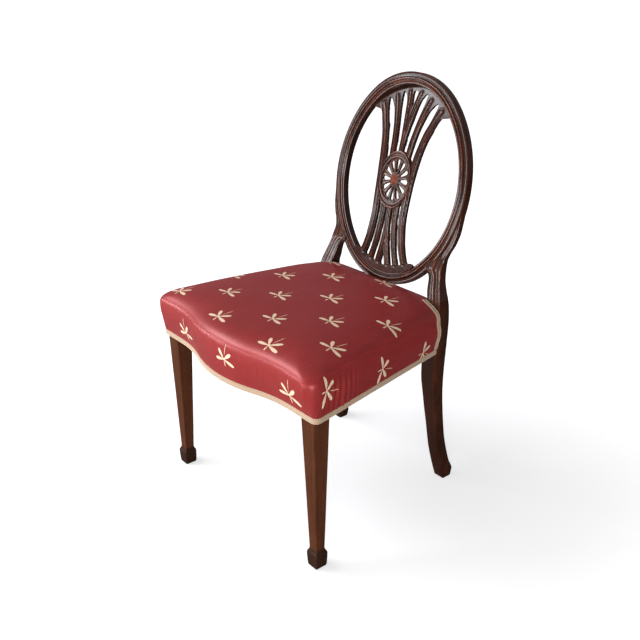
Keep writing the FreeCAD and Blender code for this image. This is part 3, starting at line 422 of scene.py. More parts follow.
def slab(flat, triangles, on_edge, front, back, edge_drop, chamfer):
    """A plate given its thickness: front and back are heights, and the back's edges are chamfered."""
    front = front - np.where(on_edge, edge_drop, 0)
    back = back + np.where(on_edge, edge_drop + chamfer * 1.5, 0)
    count = len(flat)
    faces = []
    edges = {}
    for a, b, c in upward(flat, triangles):
        faces += [(a, b, c), (c + count, b + count, a + count)]
        edges.update(dict.fromkeys(((a, b), (b, c), (c, a))))
    inwards = np.zeros((count, 2))
    for a, b in edges:
        if (b, a) not in edges:
            faces.append((b, a, a + count, b + count))
            inwards[[a, b]] += (flat[a, 1] - flat[b, 1], flat[b, 0] - flat[a, 0])
    size = np.linalg.norm(inwards, axis=1, keepdims=True)
    moved = flat + inwards / np.maximum(size, 1e-6) * chamfer
    return np.concatenate([np.column_stack([flat, front]), np.column_stack([moved, back])]), faces


def half_and_half(points):
    """A right-hand outline and its mirror image, as one closed outline."""
    left = np.array(points)[::-1] * (-1, 1)
    return np.concatenate([points, left])


def evenly(outline, step):
    """A closed outline with its points spread evenly."""
    closed = np.concatenate([outline, outline[:1]])
    run = np.concatenate([[0], np.cumsum(np.linalg.norm(np.diff(closed, axis=0), axis=1))])
    at = np.linspace(0, run[-1], max(8, int(run[-1] / step)), endpoint=False)
    return np.stack([np.interp(at, run, closed[:, k]) for k in range(2)], -1)


def splat_web():
    """Bands and ribs of the splat in one carved plate."""
    side = rounded(RIB_SIDE, 5)
    ends = (side[0][1], -side[-1][1])
    end_up, end_low = (math.degrees(math.asin((up - END_SHIFT) / RAIL_REACH)) for up in ends)
    head = rail_inner(90, end_up, 1, 60)
    foot = rail_inner(end_low, 90, -1, 60)
    right = np.concatenate([head[:-1], side, foot[1:]])
    outline = evenly(half_and_half(right), MESH_STEP)
    holes = []
    for gap in (HEAD_OUTER_GAP, HEAD_INNER_GAP, FOOT_OUTER_GAP, FOOT_INNER_GAP):
        shape = evenly(rounded(gap, 6, closed=True), 1.5)
        holes += [shape, shape[::-1] * (-1, 1)]
    for gap in (HEAD_MIDDLE_GAP, FOOT_MIDDLE_GAP):
        holes.append(evenly(half_and_half(rounded(gap, 5)), 1.2))
    holes.append(ellipse(*ROSETTE_SEAT))
    flat, triangles, on_edge = plate(outline, holes, MESH_STEP, 1.2, rib_guides())
    share = rib_field(flat)
    bow = splat_bow(flat[:, 1])
    front = bow + rib_section(share)
    points, faces = slab(flat, triangles, on_edge, front, bow - SPLAT_THICK, 0.0, 1.3)
    wear = np.clip(1.1 - share * 2.4, 0, 1) * 0.8 + np.where(on_edge, 0.35, 0)
    grain = np.column_stack([flat[:, 1], flat[:, 0], front]) * MM
    marks = {"grain": np.concatenate([grain, grain]), "wear": np.concatenate([wear, wear * 0.2])}
    return on_back(points), faces, marks


ROSETTE_SEAT = (47.5, 60.0)
RING_OUTER = (52.0, 69.0)
RING_INNER = (43.0, 51.0)
# share from the outer edge of the ring to its opening, height over the ribs, wear
RING_SECTION = [
    (0.00, -6.0, 0.0), (0.00, 0.6, 0.3), (0.03, 1.9, 0.8), (0.12, 2.6, 1.0), (0.24, 2.4, 0.8),
    (0.33, 1.4, 0.3), (0.38, -0.2, 0.0), (0.44, -0.4, 0.0), (0.50, 1.0, 0.6), (0.58, 1.3, 0.7),
    (0.78, 1.1, 0.4), (0.92, 0.6, 0.6), (0.99, -0.4, 0.4), (1.00, -2.0, 0.0), (1.00, -9.6, 0.0),
    (0.94, -10.4, 0.2), (0.06, -10.4, 0.2), (0.00, -9.6, 0.1),
]


def rosette_ring():
    """The moulded ring round the rosette."""
    share, height, worn = np.array(RING_SECTION).T
    turns = np.radians(np.arange(0, 360, 3))
    wide, high = (mix(RING_OUTER[k], RING_INNER[k], share) for k in range(2))
    rings, grain = [], []
    for turn in turns:
        across, up = wide * math.cos(turn), high * math.sin(turn)
        rings.append(on_back(np.stack([across, up, splat_bow(up) + height], -1)))
        grain.append(np.stack([turn * 60 + 0 * up, share * 10, height], -1))
    return wooden(rings, grain, [worn] * len(turns), closed_rows=True)


PETALS = 12
HUB = (13.5, 17.5)
BOSS = (12.8, 17.2)
# share of the boss's width, height over its seat
BOSS_SECTION = [
    (1.0, -1.5), (1.0, 0.3), (0.99, 0.8), (0.93, 2.1), (0.8, 3.4), (0.62, 4.4), (0.4, 5.0), (0.18, 5.3),
    (0.02, 5.35),
]


def petal_hole(index):
    """One pierced drop of the rosette, its round end outwards."""
    turn = 2 * math.pi * index / PETALS
    tip, root = 5.3, 1.9
    way = np.array([math.cos(turn), math.sin(turn)])
    far = (np.array(RING_INNER) - tip - 2.2) * way
    near = (np.array(HUB) + root + 2) * way
    along = (far - near) / np.linalg.norm(far - near)
    heading = math.atan2(along[1], along[0])
    swing = np.linspace(-math.pi / 2, math.pi / 2, 11) + heading
    outer = far + tip * np.stack([np.cos(swing), np.sin(swing)], -1)
    inner = near + root * np.stack([np.cos(swing + math.pi), np.sin(swing + math.pi)], -1)
    return evenly(np.concatenate([outer, inner]), 1.2)


def rosette_plate():
    """The pierced middle of the rosette with its twelve spokes and hub."""
    outline = ellipse(RING_INNER[0] + 1.5, RING_INNER[1] + 1.5)
    holes = [petal_hole(index) for index in range(PETALS)]
    flat, triangles, on_edge = plate(outline, holes, MESH_STEP, 0.6)
    heading = np.degrees(np.arctan2(flat[:, 1] / RING_INNER[1], flat[:, 0] / RING_INNER[0]))
    spoke = np.abs((heading / 30) % 1 - 0.5) * 2
    out = np.hypot(flat[:, 0] / RING_INNER[0], flat[:, 1] / RING_INNER[1])
    hub = np.hypot(flat[:, 0] / HUB[0], flat[:, 1] / HUB[1])
    ridge = 1.0 * (1 - spoke) * (1 - ease(0.85, 1.0, out))
    front = splat_bow(flat[:, 1]) - 2.0 + ridge + 1.4 * (1 - ease(0.92, 1.06, hub))
    points, faces = slab(flat, triangles, on_edge, front, splat_bow(flat[:, 1]) - 8.5, 0.5, 0.7)
    wear = (1 - spoke) * 0.6 + np.where(on_edge, 0.3, 0)
    grain = np.column_stack([flat[:, 1], flat[:, 0], front]) * MM
    marks = {"grain": np.concatenate([grain, grain]), "wear": np.concatenate([wear, wear * 0.2])}
    return on_back(points), faces, marks


def boss_dome():
    """The turned satinwood boss at the middle of the rosette."""
    turns = np.radians(np.arange(0, 360, 9))
    base = 0.8
    rings, grain = [], []
    for out, high in BOSS_SECTION:
        across, up = BOSS[0] * out * np.cos(turns), BOSS[1] * out * np.sin(turns)
        rings.append(on_back(np.stack([across, up, base + high + 0 * up], -1)))
        grain.append(np.stack([up, across, high + 0 * up], -1))
    return wooden(rings, grain, np.zeros((len(rings), len(turns))))


# Back posts: sabre leg below, reeded stile above, met by the side of the oval


def face_line(height, depth=0.0):
    return BACK_Y + math.tan(RAKE) * (height - BACK_Z) + depth / math.cos(RAKE)


# (height, value) of each side of a post
POST_OUT = [
    (0, 214.6), (2, 215.5), (400, 215.5), (464, 215.5), (481, 213), (501, 206.5), (535, 195.5), (569, 191), (590, 197),
    (606, 205), (641, 214), (700, 216),
]
POST_IN = [
    (0, 185.4), (2, 184.5), (75, 182.4), (150, 181.3), (230, 178.2), (300, 173.5), (475, 173.5), (504, 165.5),
    (529, 161), (541, 152), (549, 141), (560, 145), (606, 165), (700, 197),
]
POST_FRONT = [
    (0, 211), (2, 210.5), (50, 196.5), (100, 184.5), (155, 175.8), (230, 165), (300, 159.5), (430, 161.5),
    (543, face_line(543, -1.5)), (583, face_line(583, 5.5)), (700, face_line(700, 5.5)),
]
POST_REAR = [
    (0, 235.5), (2, 237), (12, 240), (21, 241.6), (28, 239), (48.4, 228.5), (147, 204), (270, 193.5), (440, 203.5),
    (500, 204.5), (583, face_line(583, 23)), (700, face_line(700, 23)),
]
# share across the front from the inner side, depth, wear: the reeds worked on the stile
STILE_REEDS = [
    (0.00, 0.3, 0.5), (0.05, 0.0, 0.6), (0.12, 1.2, 0.0), (0.24, 1.7, 0.0), (0.34, 0.9, 0.3),
    (0.42, 0.0, 1.0), (0.50, 0.0, 1.0), (0.56, 1.2, 0.1), (0.60, 1.9, 0.0), (0.65, 0.8, 0.3),
    (0.72, 0.1, 0.7), (0.79, 0.7, 0.2), (0.84, 1.6, 0.0), (0.90, 0.6, 0.2), (0.96, 0.2, 0.5),
    (1.00, 0.5, 0.3),
]


def quarter(centre, radius, start, high):
    """The points of a rounded corner at one height, a quarter turn from a start angle."""
    turns = [math.radians(angle) for angle in range(start, start + 91, 18)]
    return [(centre[0] + radius * math.cos(turn), centre[1] + radius * math.sin(turn), high) for turn in turns]


def post_body():
    """The right-hand post from the floor to where it dies into the oval."""
    foot_heights = [0, 1, 2, 5, 9, 14, 18, 21, 24, 28, 34, 41, 48]
    spans = (np.arange(56, 470, 9), np.arange(470, 620, 3.5), np.arange(620, 701, 10))
    reeds = np.array(STILE_REEDS)
    shares = np.linspace(0, 1, 41)
    depth, shine = (np.interp(shares, reeds[:, 0], reeds[:, k]) for k in (1, 2))
    rings, grain, wear = [], [], []
    for high in np.unique(np.concatenate([foot_heights, *spans])):
        out, inn = through(POST_OUT, high), through(POST_IN, high)
        front, rear = through(POST_FRONT, high), through(POST_REAR, high)
        reeded = float(ease(466, 486, high))
        edge = mix(1.6, 0.9, reeded)
        rear_edge = mix(1.8, 6.0, float(ease(430, 480, high)))
        from_side = np.minimum(shares, 1 - shares) * (out - inn)
        drop = edge - np.sqrt(np.clip(edge**2 - np.clip(edge - from_side, 0, edge) ** 2, 0, None))
        face = np.stack([mix(inn, out, shares), front + drop + depth * reeded, 0 * shares + high], -1)
        face_wear = shine * reeded * 0.9 + np.where(from_side < 1.5, 0.4, 0) * (1 - reeded)
        corners = quarter((out - rear_edge, rear - rear_edge), rear_edge, 0, high)
        corners += quarter((inn + rear_edge, rear - rear_edge), rear_edge, 90, high)
        ring = np.array(list(face) + corners)
        rings.append(ring)
        grain.append(ring[:, [2, 0, 1]])
        wear.append(list(face_wear) + [0.05, 0.25, 0.25, 0.25, 0.25, 0.05] * 2)
    return wooden(rings, grain, wear)


# Front legs: square taper on a spade foot, with softened arrises

LEG_LINE = [
    # height, x in, x out, y front, y back, corner radius
    (0.0, 256.2, 282.8, -251.3, -224.7, 2.0),
    (1.2, 254.9, 284.1, -252.6, -223.4, 2.2),
    (8.0, 254.0, 284.9, -253.4, -222.6, 2.2),
    (22.0, 253.3, 285.7, -254.2, -221.8, 2.2),
    (33.0, 253.0, 286.0, -254.5, -221.5, 2.2),
    (36.4, 253.4, 285.6, -254.1, -221.9, 2.4),
    (38.2, 254.6, 284.4, -252.9, -223.1, 2.4),
    (43.0, 256.9, 281.9, -250.4, -225.4, 2.0),
    (47.0, 257.5, 281.1, -249.6, -226.0, 1.6),
    (50.0, 257.4, 281.1, -249.6, -225.9, 1.3),
    (120.0, 254.5, 282.2, -250.7, -222.9, 1.1),
    (200.0, 251.5, 283.4, -251.9, -219.9, 1.1),
    (280.0, 248.3, 284.7, -253.2, -216.7, 1.1),
    (362.0, 245.0, 286.0, -254.5, -213.5, 1.1),
    (421.0, 245.0, 286.0, -254.5, -213.5, 1.1),
]


def leg_body():
    """The right-hand front leg."""
    rings, grain, wear = [], [], []
    for high, inn, out, front, rear, radius in LEG_LINE:
        right, left, near, far = out - radius, inn + radius, front + radius, rear - radius
        middles = ((right, far), (left, far), (left, near), (right, near))
        corners = [quarter(middle, radius, 90 * k, high) for k, middle in enumerate(middles)]
        ring = np.concatenate(corners)
        rings.append(ring)
        grain.append(ring[:, [2, 0, 1]])
        on_ankle = 0.25 if 30 < high < 40 else 0
        wear.append(np.array([0.15, 0.75, 0.75, 0.75, 0.75, 0.15] * 4) + on_ankle)
    return wooden(rings, grain, wear)


# Stuffed seat: bowed front, tapering sides, a full edge and a low crown

RAIL_BOTTOM, RAIL_TOP = 362.0, 422.0
FRONT_RIM, REAR_RIM = 286.0, 215.5
FRONT_FACE, POST_FACE, REAR_FACE, REAR_BACK = -254.5, 161.5, 168.5, 194.5
SIDE_START = FRONT_FACE + 41.0
POST_SIDE = REAR_RIM - 42.0
BOW_RISE, BOW_HALF = 35.0, 215.0
TAPER = math.atan2(FRONT_RIM - REAR_RIM, POST_FACE - SIDE_START)
STAND = 4.7
CROWN, EDGE_HIGH = 494.0, 446.0
SEAT_MIDDLE = np.array([0.0, -40.0])
RAW_EDGE = RAIL_BOTTOM + 2
# how far the stuffing swells past the rails at the sides, front and back
SWELLS = (4, 16, 2)
# corner radius over the rails, at the fullest edge and on the crown, and the bow's share left there
CORNERS = (12, 29, 62)
BOW_LEFT = 0.8
# x, y, breadth and drop of each slack corner
SLACK_CORNERS = [(292, -268, 95, 6.5), (-292, -268, 95, 1.5), (220, 170, 52, 11.0), (-220, 170, 52, 6.0)]
PLEAT_DEPTH, PLEAT_SPACING = 2.2, 16.5
LAYER_GAP, CLOTH_THICK = 0.3, 0.8


def side_line(y, inset=0.0):
    """How far out the face of a side rail is at a depth."""
    return FRONT_RIM + (REAR_RIM - FRONT_RIM) * (y - SIDE_START) / (POST_FACE - SIDE_START) - inset


def bowed_front(x, base, rise):
    """The serpentine front: a full arc between two half arcs."""
    bend = BOW_HALF / 2
    radius = bend / math.sin(2 * math.atan2(rise, BOW_HALF))
    x = np.minimum(np.abs(x), BOW_HALF)
    middle = base - rise + radius - np.sqrt(radius**2 - np.minimum(x, bend) ** 2)
    outer = base - radius + np.sqrt(radius**2 - (BOW_HALF - np.maximum(x, bend)) ** 2)
    return np.where(x <= bend, middle, outer)


def seat_outline(side, front, back, radius, bow):
    """The seat from above, the right half and its mirror image, always with as many points."""
    base, rear = FRONT_FACE - front, REAR_BACK + back
    out = side / math.cos(TAPER)
    up_side = np.array([-math.sin(TAPER), math.cos(TAPER)])
    first = np.array([side_line(base) + out, base])
    last = np.array([side_line(rear) + out, rear])
    turns = []
    for corner, along, aside in ((first, np.array([-1.0, 0]), up_side), (last, -up_side, np.array([-1.0, 0]))):
        half = math.acos(np.clip(along @ aside, -1, 1)) / 2
        reach = radius / math.tan(half)
        middle = corner + (along + aside) / np.linalg.norm(along + aside) * radius / math.sin(half)
        ends = [corner + along * reach - middle, corner + aside * reach - middle]
        angles = np.unwrap([math.atan2(p[1], p[0]) for p in ends])
        swing = np.linspace(*angles, 13)
        turns.append(middle + radius * np.stack([np.cos(swing), np.sin(swing)], -1))
    bows = np.linspace(0, BOW_HALF, 33)
    right = [np.stack([bows, bowed_front(bows, base, BOW_RISE * bow)], -1)]
    right.append(np.linspace(right[0][-1], turns[0][0], 6)[1:-1])
    right.append(turns[0])
    side_share = np.linspace(0, 1, 130)[1:-1, None] ** 1.4
    right.append(mix(turns[0][-1], turns[1][0], side_share))
    right.append(turns[1])
    right.append(np.linspace(turns[1][-1], [0, rear], 26)[1:])
    right = np.concatenate(right)
    return np.concatenate([right, right[-2:0:-1] * (-1, 1)])


def seat_levels(inset, fine):
    """Heights of the seat with each one's outline and its share of the full width."""
    stand = STAND - inset

    def outline(swell):
        reach = [stand + most * swell for most in SWELLS]
        return seat_outline(*reach, mix(CORNERS[0], CORNERS[1], swell), mix(1, BOW_LEFT, swell))

    start = RAW_EDGE + 12
    levels = [(high, outline(0), 1.0) for high in np.linspace(RAW_EDGE, start, 3 * fine, endpoint=False)]
    for step in np.linspace(0, 1, 11 * fine, endpoint=False):
        levels.append((mix(start, EDGE_HIGH, step), outline(math.sin(math.pi / 2 * step) ** 1.2), 1.0))
    rise = CROWN - EDGE_HIGH - inset
    full = outline(1)
    power = 5.0 - 1.1 * ease(-40, 300, -full[:, 1]) - 0.5 * ease(-150, 300, full[:, 0])
    for angle in np.concatenate([np.linspace(0, 60, 9 * fine), np.linspace(64, 89.7, 12 * fine)]):
        turn = math.radians(angle)
        share = math.cos(turn) ** (2 / power)
        climb = 0.94 * math.sin(turn) ** (2 / power) + 0.06 * (1 - share**2)
        soften = math.sin(turn) ** 0.48
        soft = seat_outline(*(stand + most for most in SWELLS), mix(*CORNERS[1:], soften**2), BOW_LEFT)
        levels.append((EDGE_HIGH + rise * climb, full + (soft - full) * soften, share[:, None]))
    return levels


# place on the flat cut and how far the upholsterer drew the pattern from its regular place, in mm
CLOTH_PULL = [
    (-251, -235, 2, 18), (-144, -167, 12, 1), (-46, -92, 14, -9), (46, -15, 10, -17), (133, 76, 0, -11),
    (-152, 0, 4, -2), (-63, 82, -3, -5), (-50, -254, 10, -2), (50, -179, 14, -11), (145, -95, 12, -13),
    (228, -5, -2, -7), (137, -253, 4, 0), (237, -168, 7, 0), (-175, -337, -18, 1), (42, -343, 6, -6),
    (226, -331, -4, 7), (327, -226, 1, 27), (325, -40, -1, 43), (317, 114, -10, 28),
]


def drawn_back(cloth):
    """The flat cut with the upholsterer's pull taken out of it."""
    weight, pull = np.full(cloth.shape[:2], 1e-9), np.zeros(cloth.shape)
    for x, y, dx, dy in CLOTH_PULL:
        near = np.exp(-((cloth[..., 0] - x) ** 2 + (cloth[..., 1] - y) ** 2) / (2 * 38**2)) + 1e-7
        weight += near
        pull += near[..., None] * (dx, dy)
    return cloth - pull / weight[..., None]


def seat_surface(inset, fine=1):
    """The swelling form as (points, faces, marks); cloth is where each point was on the flat cut."""
    levels = seat_levels(inset, fine)
    rings = []
    for high, outline, share in levels:
        flat = SEAT_MIDDLE + (outline - SEAT_MIDDLE) * share
        rings.append(np.column_stack([flat, np.broadcast_to(high, len(flat))]))
    rings = np.array(rings)
    smooth, rings = shaped(rings, pleated=False), shaped(rings)
    rim = smooth[14 * fine]
    ahead = np.roll(rim, -1, 0)[:, :2] - np.roll(rim, 1, 0)[:, :2]
    normal = np.stack([ahead[:, 1], -ahead[:, 0]], -1) / np.linalg.norm(ahead, axis=1)[:, None]
    steps = np.linalg.norm(np.diff(smooth[::-1], axis=0), axis=2)
    run = np.concatenate([np.zeros((1, len(rim))), np.cumsum(steps, 0)])[::-1]
    run += np.linalg.norm(smooth[-1, :, :2] - SEAT_MIDDLE, axis=1)
    reach = np.linalg.norm(smooth[:, :, :2] - SEAT_MIDDLE, axis=2)
    cloth = drawn_back(smooth[:, :, :2] + normal * (run - reach)[:, :, None])
    points, faces = skin(rings, caps=False)
    count = rings.shape[1]
    top = len(points)
    points = np.concatenate([points, [rings[-1].mean(0)]])
    faces += [(top - count + j, top - count + (j + 1) % count, top) for j in range(count)]
    flat = np.column_stack([cloth.reshape(-1, 2), np.zeros(top)])
    flat = np.concatenate([flat, [[*SEAT_MIDDLE, 0]]]) * MM
    return points, faces, {"cloth": flat}


def shaped(rings, pleated=True):
    """Softness of the finished cover: slack corners, a barrelled side, pleats and an uneven crown."""
    out = rings.copy()
    x, y, z = rings[..., 0], rings[..., 1], rings[..., 2]
    lift = ease(RAIL_TOP, EDGE_HIGH + 20, z)
    for across, deep, wide, drop in SLACK_CORNERS:
        out[..., 2] -= drop * np.exp(-(((x - across) / wide) ** 2) - ((y - deep) / wide) ** 2) * lift
    swell = np.sin(x / 61 + 0.7) * np.sin(y / 53 + 1.9) + 0.6 * np.sin(x / 33 - y / 41)
    out[..., 2] += 0.8 * swell * ease(EDGE_HIGH + 12, CROWN - 6, z)
    beside = ease(140, 190, np.abs(x)) * ease(-262, -215, y)
    barrel = mix(1.5, 6.5, ease(-150, 150, y)) * np.exp(-(((z - 418) / 27) ** 2))
    out[..., 0] += np.sign(x) * beside * (barrel * ease(RAW_EDGE, RAW_EDGE + 14, z))
    if not pleated:
        return out
    run = y + 4.0 * np.sin(y / 19) + 0.12 * (z - RAW_EDGE) * np.clip((y + 175) / 60, -1, 1)
    sharp = np.sin(2 * math.pi * run / PLEAT_SPACING)
    high = ease(RAW_EDGE + 2, RAW_EDGE + 18, z) * (1 - ease(RAIL_TOP, EDGE_HIGH + 14, z))
    fold = (sharp + 0.35 * sharp**2) * np.exp(-(((y + 178) / 46) ** 2)) * high * beside
    out[..., 0] += np.sign(x) * PLEAT_DEPTH * fold
    along = np.arctan2(y - SEAT_MIDDLE[1], x)
    corner = np.exp(-(((np.abs(x) - 283) / 20) ** 2) - ((y + 262) / 24) ** 2)
    away = out[..., :2] - SEAT_MIDDLE
    away /= np.linalg.norm(away, axis=-1, keepdims=True) + 1e-6
    out[..., :2] += away * (1.3 * np.sin(along * 95) * corner * high)[..., None]
    return out


def post_front_at(height):
    return through(POST_FRONT, height)


def round_posts(points, faces, tuck=1.5):
    """Leaves out the faces that would lie in a post or in the oval's lower rail."""
    kept = []
    slope = math.tan(RAKE)
    for face in faces:
        x, y, z = points[list(face)].mean(0)
        behind = abs(x) > POST_SIDE + tuck and y > float(post_front_at(z)) + tuck
        up = (z - BACK_Z) / math.cos(RAKE) + (y - face_line(z)) * math.sin(RAKE)
        depth = (y - (BACK_Y + slope * (z - BACK_Z))) * math.cos(RAKE)
        reach = math.hypot(x, up + END_SHIFT)
        in_rail = up < -END_SHIFT and reach < END_RADIUS - tuck and tuck < depth < FRAME_THICK - tuck
        if not (behind or in_rail):
            kept.append(face)
    return kept


def drawn_to_posts(points, faces, kept):
    """Draws the cut row beside each post onto the line of the post's front face."""
    dropped = {index for face in set(faces) - set(kept) for index in face}
    for index in {index for face in kept for index in face} & dropped:
        x, y, z = points[index]
        front = float(post_front_at(z))
        if abs(x) > POST_SIDE + 6 and y > front - 9:
            points[index, 1] = front + 0.2


def turned_in(points, faces, marks):
    """Turns the cover's cut edge in against each post."""
    uses = {}
    for face in faces:
        for a, b in zip(face, face[1:] + face[:1]):
            uses[(a, b)] = True
    edges = []
    for a, b in uses:
        ends = points[[a, b]]
        beside = np.abs(ends[:, 0]) > POST_SIDE + 30
        at_front = np.abs(ends[:, 1] - post_front_at(ends[:, 2])) < 0.6
        if (b, a) not in uses and beside.all() and at_front.all():
            edges.append((a, b))
    rows = sorted({index for edge in edges for index in edge})
    inner = {index: len(points) + k for k, index in enumerate(rows)}
    added = points[rows].copy()
    added[:, 0] = np.sign(added[:, 0]) * np.minimum(np.abs(added[:, 0]), REAR_RIM - 3)
    added[:, 1] += 0.5
    faces = faces + [(b, a, inner[a], inner[b]) for a, b in edges]
    marks = {mark: np.concatenate([values, values[rows]]) for mark, values in marks.items()}
    return np.concatenate([points, added]), faces, marks


def without_strays(points, faces, marks):
    used = sorted({index for face in faces for index in face})
    place = {old: new for new, old in enumerate(used)}
    faces = [tuple(place[index] for index in face) for face in faces]
    return points[used], faces, {mark: values[used] for mark, values in marks.items()}


def cloth_piece(name, points, faces, marks, thick, material, slot):
    """A sheet of cloth with its thickness inwards."""
    points, faces, marks = without_strays(np.asarray(points, float), faces, marks)
    made = piece(name, points, faces, material, slot, sharp=60, **marks)
    body = made.modifiers.new("thickness", "SOLIDIFY")
    body.thickness, body.offset = thick * MM, -1
    return made


# Gimp braid, laid on the cover along a path


BRAID_WIDE, BRAID_PITCH = 13.0, 5.2


def braid_strip(path, across, normals):
    """Braid along a path: two corded edges with a looped middle."""
    run = np.concatenate([[0], np.cumsum(np.linalg.norm(np.diff(path, axis=0), axis=1))])
    count = int(run[-1] / 1.3)
    at = np.linspace(0, run[-1], count)
    line, side, up = (np.stack([np.interp(at, run, v[:, k]) for k in range(3)], -1) for v in (path, across, normals))
    side /= np.linalg.norm(side, axis=1)[:, None]
    up /= np.linalg.norm(up, axis=1)[:, None]
    shares = np.linspace(-1, 1, 13)
    rings, marks = [], []
    for k in range(count):
        phase = 2 * math.pi * at[k] / BRAID_PITCH
        half = BRAID_WIDE / 2 * (1 + 0.05 * math.sin(phase))
        cords = 0.9 * np.exp(-(((np.abs(shares) - 0.84) / 0.12) ** 2))
        loops = 0.75 * np.exp(-(((shares - 0.42 * math.sin(phase)) / 0.3) ** 2))
        high = 0.9 + cords * (1 + 0.25 * math.sin(2.5 * phase)) + loops
        high[0] = high[-1] = 0.4
        top = line[k] + side[k] * (shares * half)[:, None] + up[k] * high[:, None]
        low = line[k] + side[k] * (shares[::-1] * half * 0.98)[:, None] + up[k] * 0.15
        rings.append(np.concatenate([top, low]))
        flat = np.concatenate([shares, shares[::-1]]) * half
        # the cloth mark also keeps each point's height, which the braid's material turns into painted shade
        marks.append(np.stack([np.full(26, at[k]), flat, np.concatenate([high, high * 0])], -1) * MM)
    points, faces = skin(rings)
    return points, outward(points, faces), {"cloth": np.concatenate(marks)}, run[-1]


def seat_tree(points, faces):
    return BVHTree.FromPolygons([Vector(p) for p in points], faces)


def laid_on(tree, path, lean):
    """A path laid on the cover: its points, the way across and the way out, for a braid beside it."""
    path = rounded(path, 10)
    ahead = np.gradient(path, axis=0)
    line, side, up = [], [], []
    for point, way in zip(path, ahead):
        _, normal, _, _ = tree.find_nearest(Vector(point))
        if normal is None:
            continue
        normal = np.array(normal)
        across = np.cross(way, normal)
        across /= np.linalg.norm(across)
        middle = point + across * lean
        place, again, _, _ = tree.find_nearest(Vector(middle))
        line.append(np.array(place))
        side.append(across)
        up.append(np.array(again))
    return np.array(line), np.array(side), np.array(up)


# Webbing and flat cloths inside the seat

LONG_WEBS, CROSS_WEBS = 4, 3
WEB_WIDE, WEB_THICK, WEB_LAP = 50.0, 1.8, 24.0
RAIL_THICK = 33.0
HESSIAN_LEVEL = RAIL_TOP + WEB_THICK + 1.0 + LAYER_GAP


def long_web_x(index):
    return (index - (LONG_WEBS - 1) / 2) * WEB_WIDE * 1.6


def cross_web_y(index):
    return SIDE_START + (POST_FACE - SIDE_START) * (index + 1) / (CROSS_WEBS + 1)


def strap(ends, crossings, over, place, across):
    """One strap of webbing as a grid: over one strap and under the next."""
    level = RAIL_TOP + WEB_THICK
    step = WEB_THICK / 2 + 0.1
    keys = [(ends[0], level), (ends[0] + WEB_LAP + 4, level)]
    for at in crossings:
        high = level + (step if over else -step)
        keys += [(at - WEB_WIDE / 2 - 1, high), (at + WEB_WIDE / 2 + 1, high)]
        over = not over
    keys += [(ends[1] - WEB_LAP - 4, level), (ends[1], level)]
    runs = np.linspace(ends[0], ends[1], 110)
    highs = np.interp(runs, *np.array(keys).T)
    wide = np.linspace(-WEB_WIDE / 2, WEB_WIDE / 2, 7)
    points, cloth = [], []
    for run, high in zip(runs, highs):
        for w in wide:
            points.append((run, place + w, high) if across else (place + w, run, high))
            cloth.append((run, w, 0))
    faces = []
    for i in range(len(runs) - 1):
        for j in range(len(wide) - 1):
            a = i * len(wide) + j
            b = a + len(wide)
            faces.append((a, b, b + 1, a + 1) if across else (a, a + 1, b + 1, b))
    return np.array(points), faces, {"cloth": np.array(cloth) * MM}, ends[1] - ends[0]


def flat_cloth(corners, level, sag):
    """A flat cloth cut to corners, sagging a little in its middle."""
    flat, triangles, _ = plate(evenly(np.array(corners, float), 9), [], 11, 3)
    reach = np.minimum((FRONT_RIM - np.abs(flat[:, 0])) / 160, (200 - np.abs(flat[:, 1] + 30)) / 160)
    high = level - sag * ease(0.3, 0.8, reach)
    marks = {"cloth": np.column_stack([flat, high * 0]) * MM}
    return np.column_stack([flat, high]), upward(flat, triangles), marks


# Finishes: effects shared between materials are node groups, built once


def plug(tree, made, inputs):
    """Gives each named input its value, or the output of another node."""
    for key, value in inputs.items():
        if isinstance(value, bpy.types.NodeSocket):
            tree.links.new(value, made.inputs[key])
        else:
            made.inputs[key].default_value = value


def node(tree, kind, inputs=None, **settings):
    """A shader node with its settings and inputs."""
    made = tree.nodes.new("ShaderNode" + kind)
    for key, value in settings.items():
        setattr(made, key, value)
    plug(tree, made, inputs or {})
    return made


def maths(tree, operation, *values, clamp=False):
    return node(tree, "Math", dict(enumerate(values)), operation=operation, use_clamp=clamp).outputs[0]


def times(tree, *values, clamp=False):
    return maths(tree, "MULTIPLY", *values, clamp=clamp)


def plus(tree, first, second):
    return maths(tree, "ADD", first, second)


def scaled(tree, vector, scale):
    return node(tree, "VectorMath", {0: vector, 1: scale}, operation="MULTIPLY").outputs[0]


def noise(tree, vector, scale, detail=3.0, roughness=0.55):
    made = node(tree, "TexNoise", {"Vector": vector, "Scale": scale, "Detail": detail, "Roughness": roughness})
    return made.outputs["Fac"]


def streaky(tree, vector, scales, detail=2.0, roughness=0.6):
    """Noise drawn out along some axes."""
    return noise(tree, scaled(tree, vector, scales), 1.0, detail, roughness)


def between(tree, value, low, high, to_low=0.0, to_high=1.0):
    """A value spread from one range to another, and kept in it."""
    inputs = {"Value": value, "From Min": low, "From Max": high, "To Min": to_low, "To Max": to_high}
    return node(tree, "MapRange", inputs, clamp=True).outputs["Result"]


def blended(tree, factor, first, second, way="MIX"):
    made = node(tree, "Mix", {0: factor, 6: first, 7: second}, data_type="RGBA", blend_type=way)
    return made.outputs[2]


def group(name, takes, gives):
    """An empty node group with named inputs and outputs: (tree, inputs, outputs)."""
    tree = bpy.data.node_groups.new(name, "ShaderNodeTree")
    kinds = {"value": "NodeSocketFloat", "colour": "NodeSocketColor", "vector": "NodeSocketVector"}
    for label, kind in takes.items():
        tree.interface.new_socket(name=label, in_out="INPUT", socket_type=kinds[kind])
    for label, kind in gives.items():
        tree.interface.new_socket(name=label, in_out="OUTPUT", socket_type=kinds[kind])
    start, end = tree.nodes.new("NodeGroupInput"), tree.nodes.new("NodeGroupOutput")
    return tree, start.outputs, end.inputs


def give(tree, sockets, **values):
    for label, value in values.items():
        tree.links.new(value, sockets[label.replace("_", " ")])


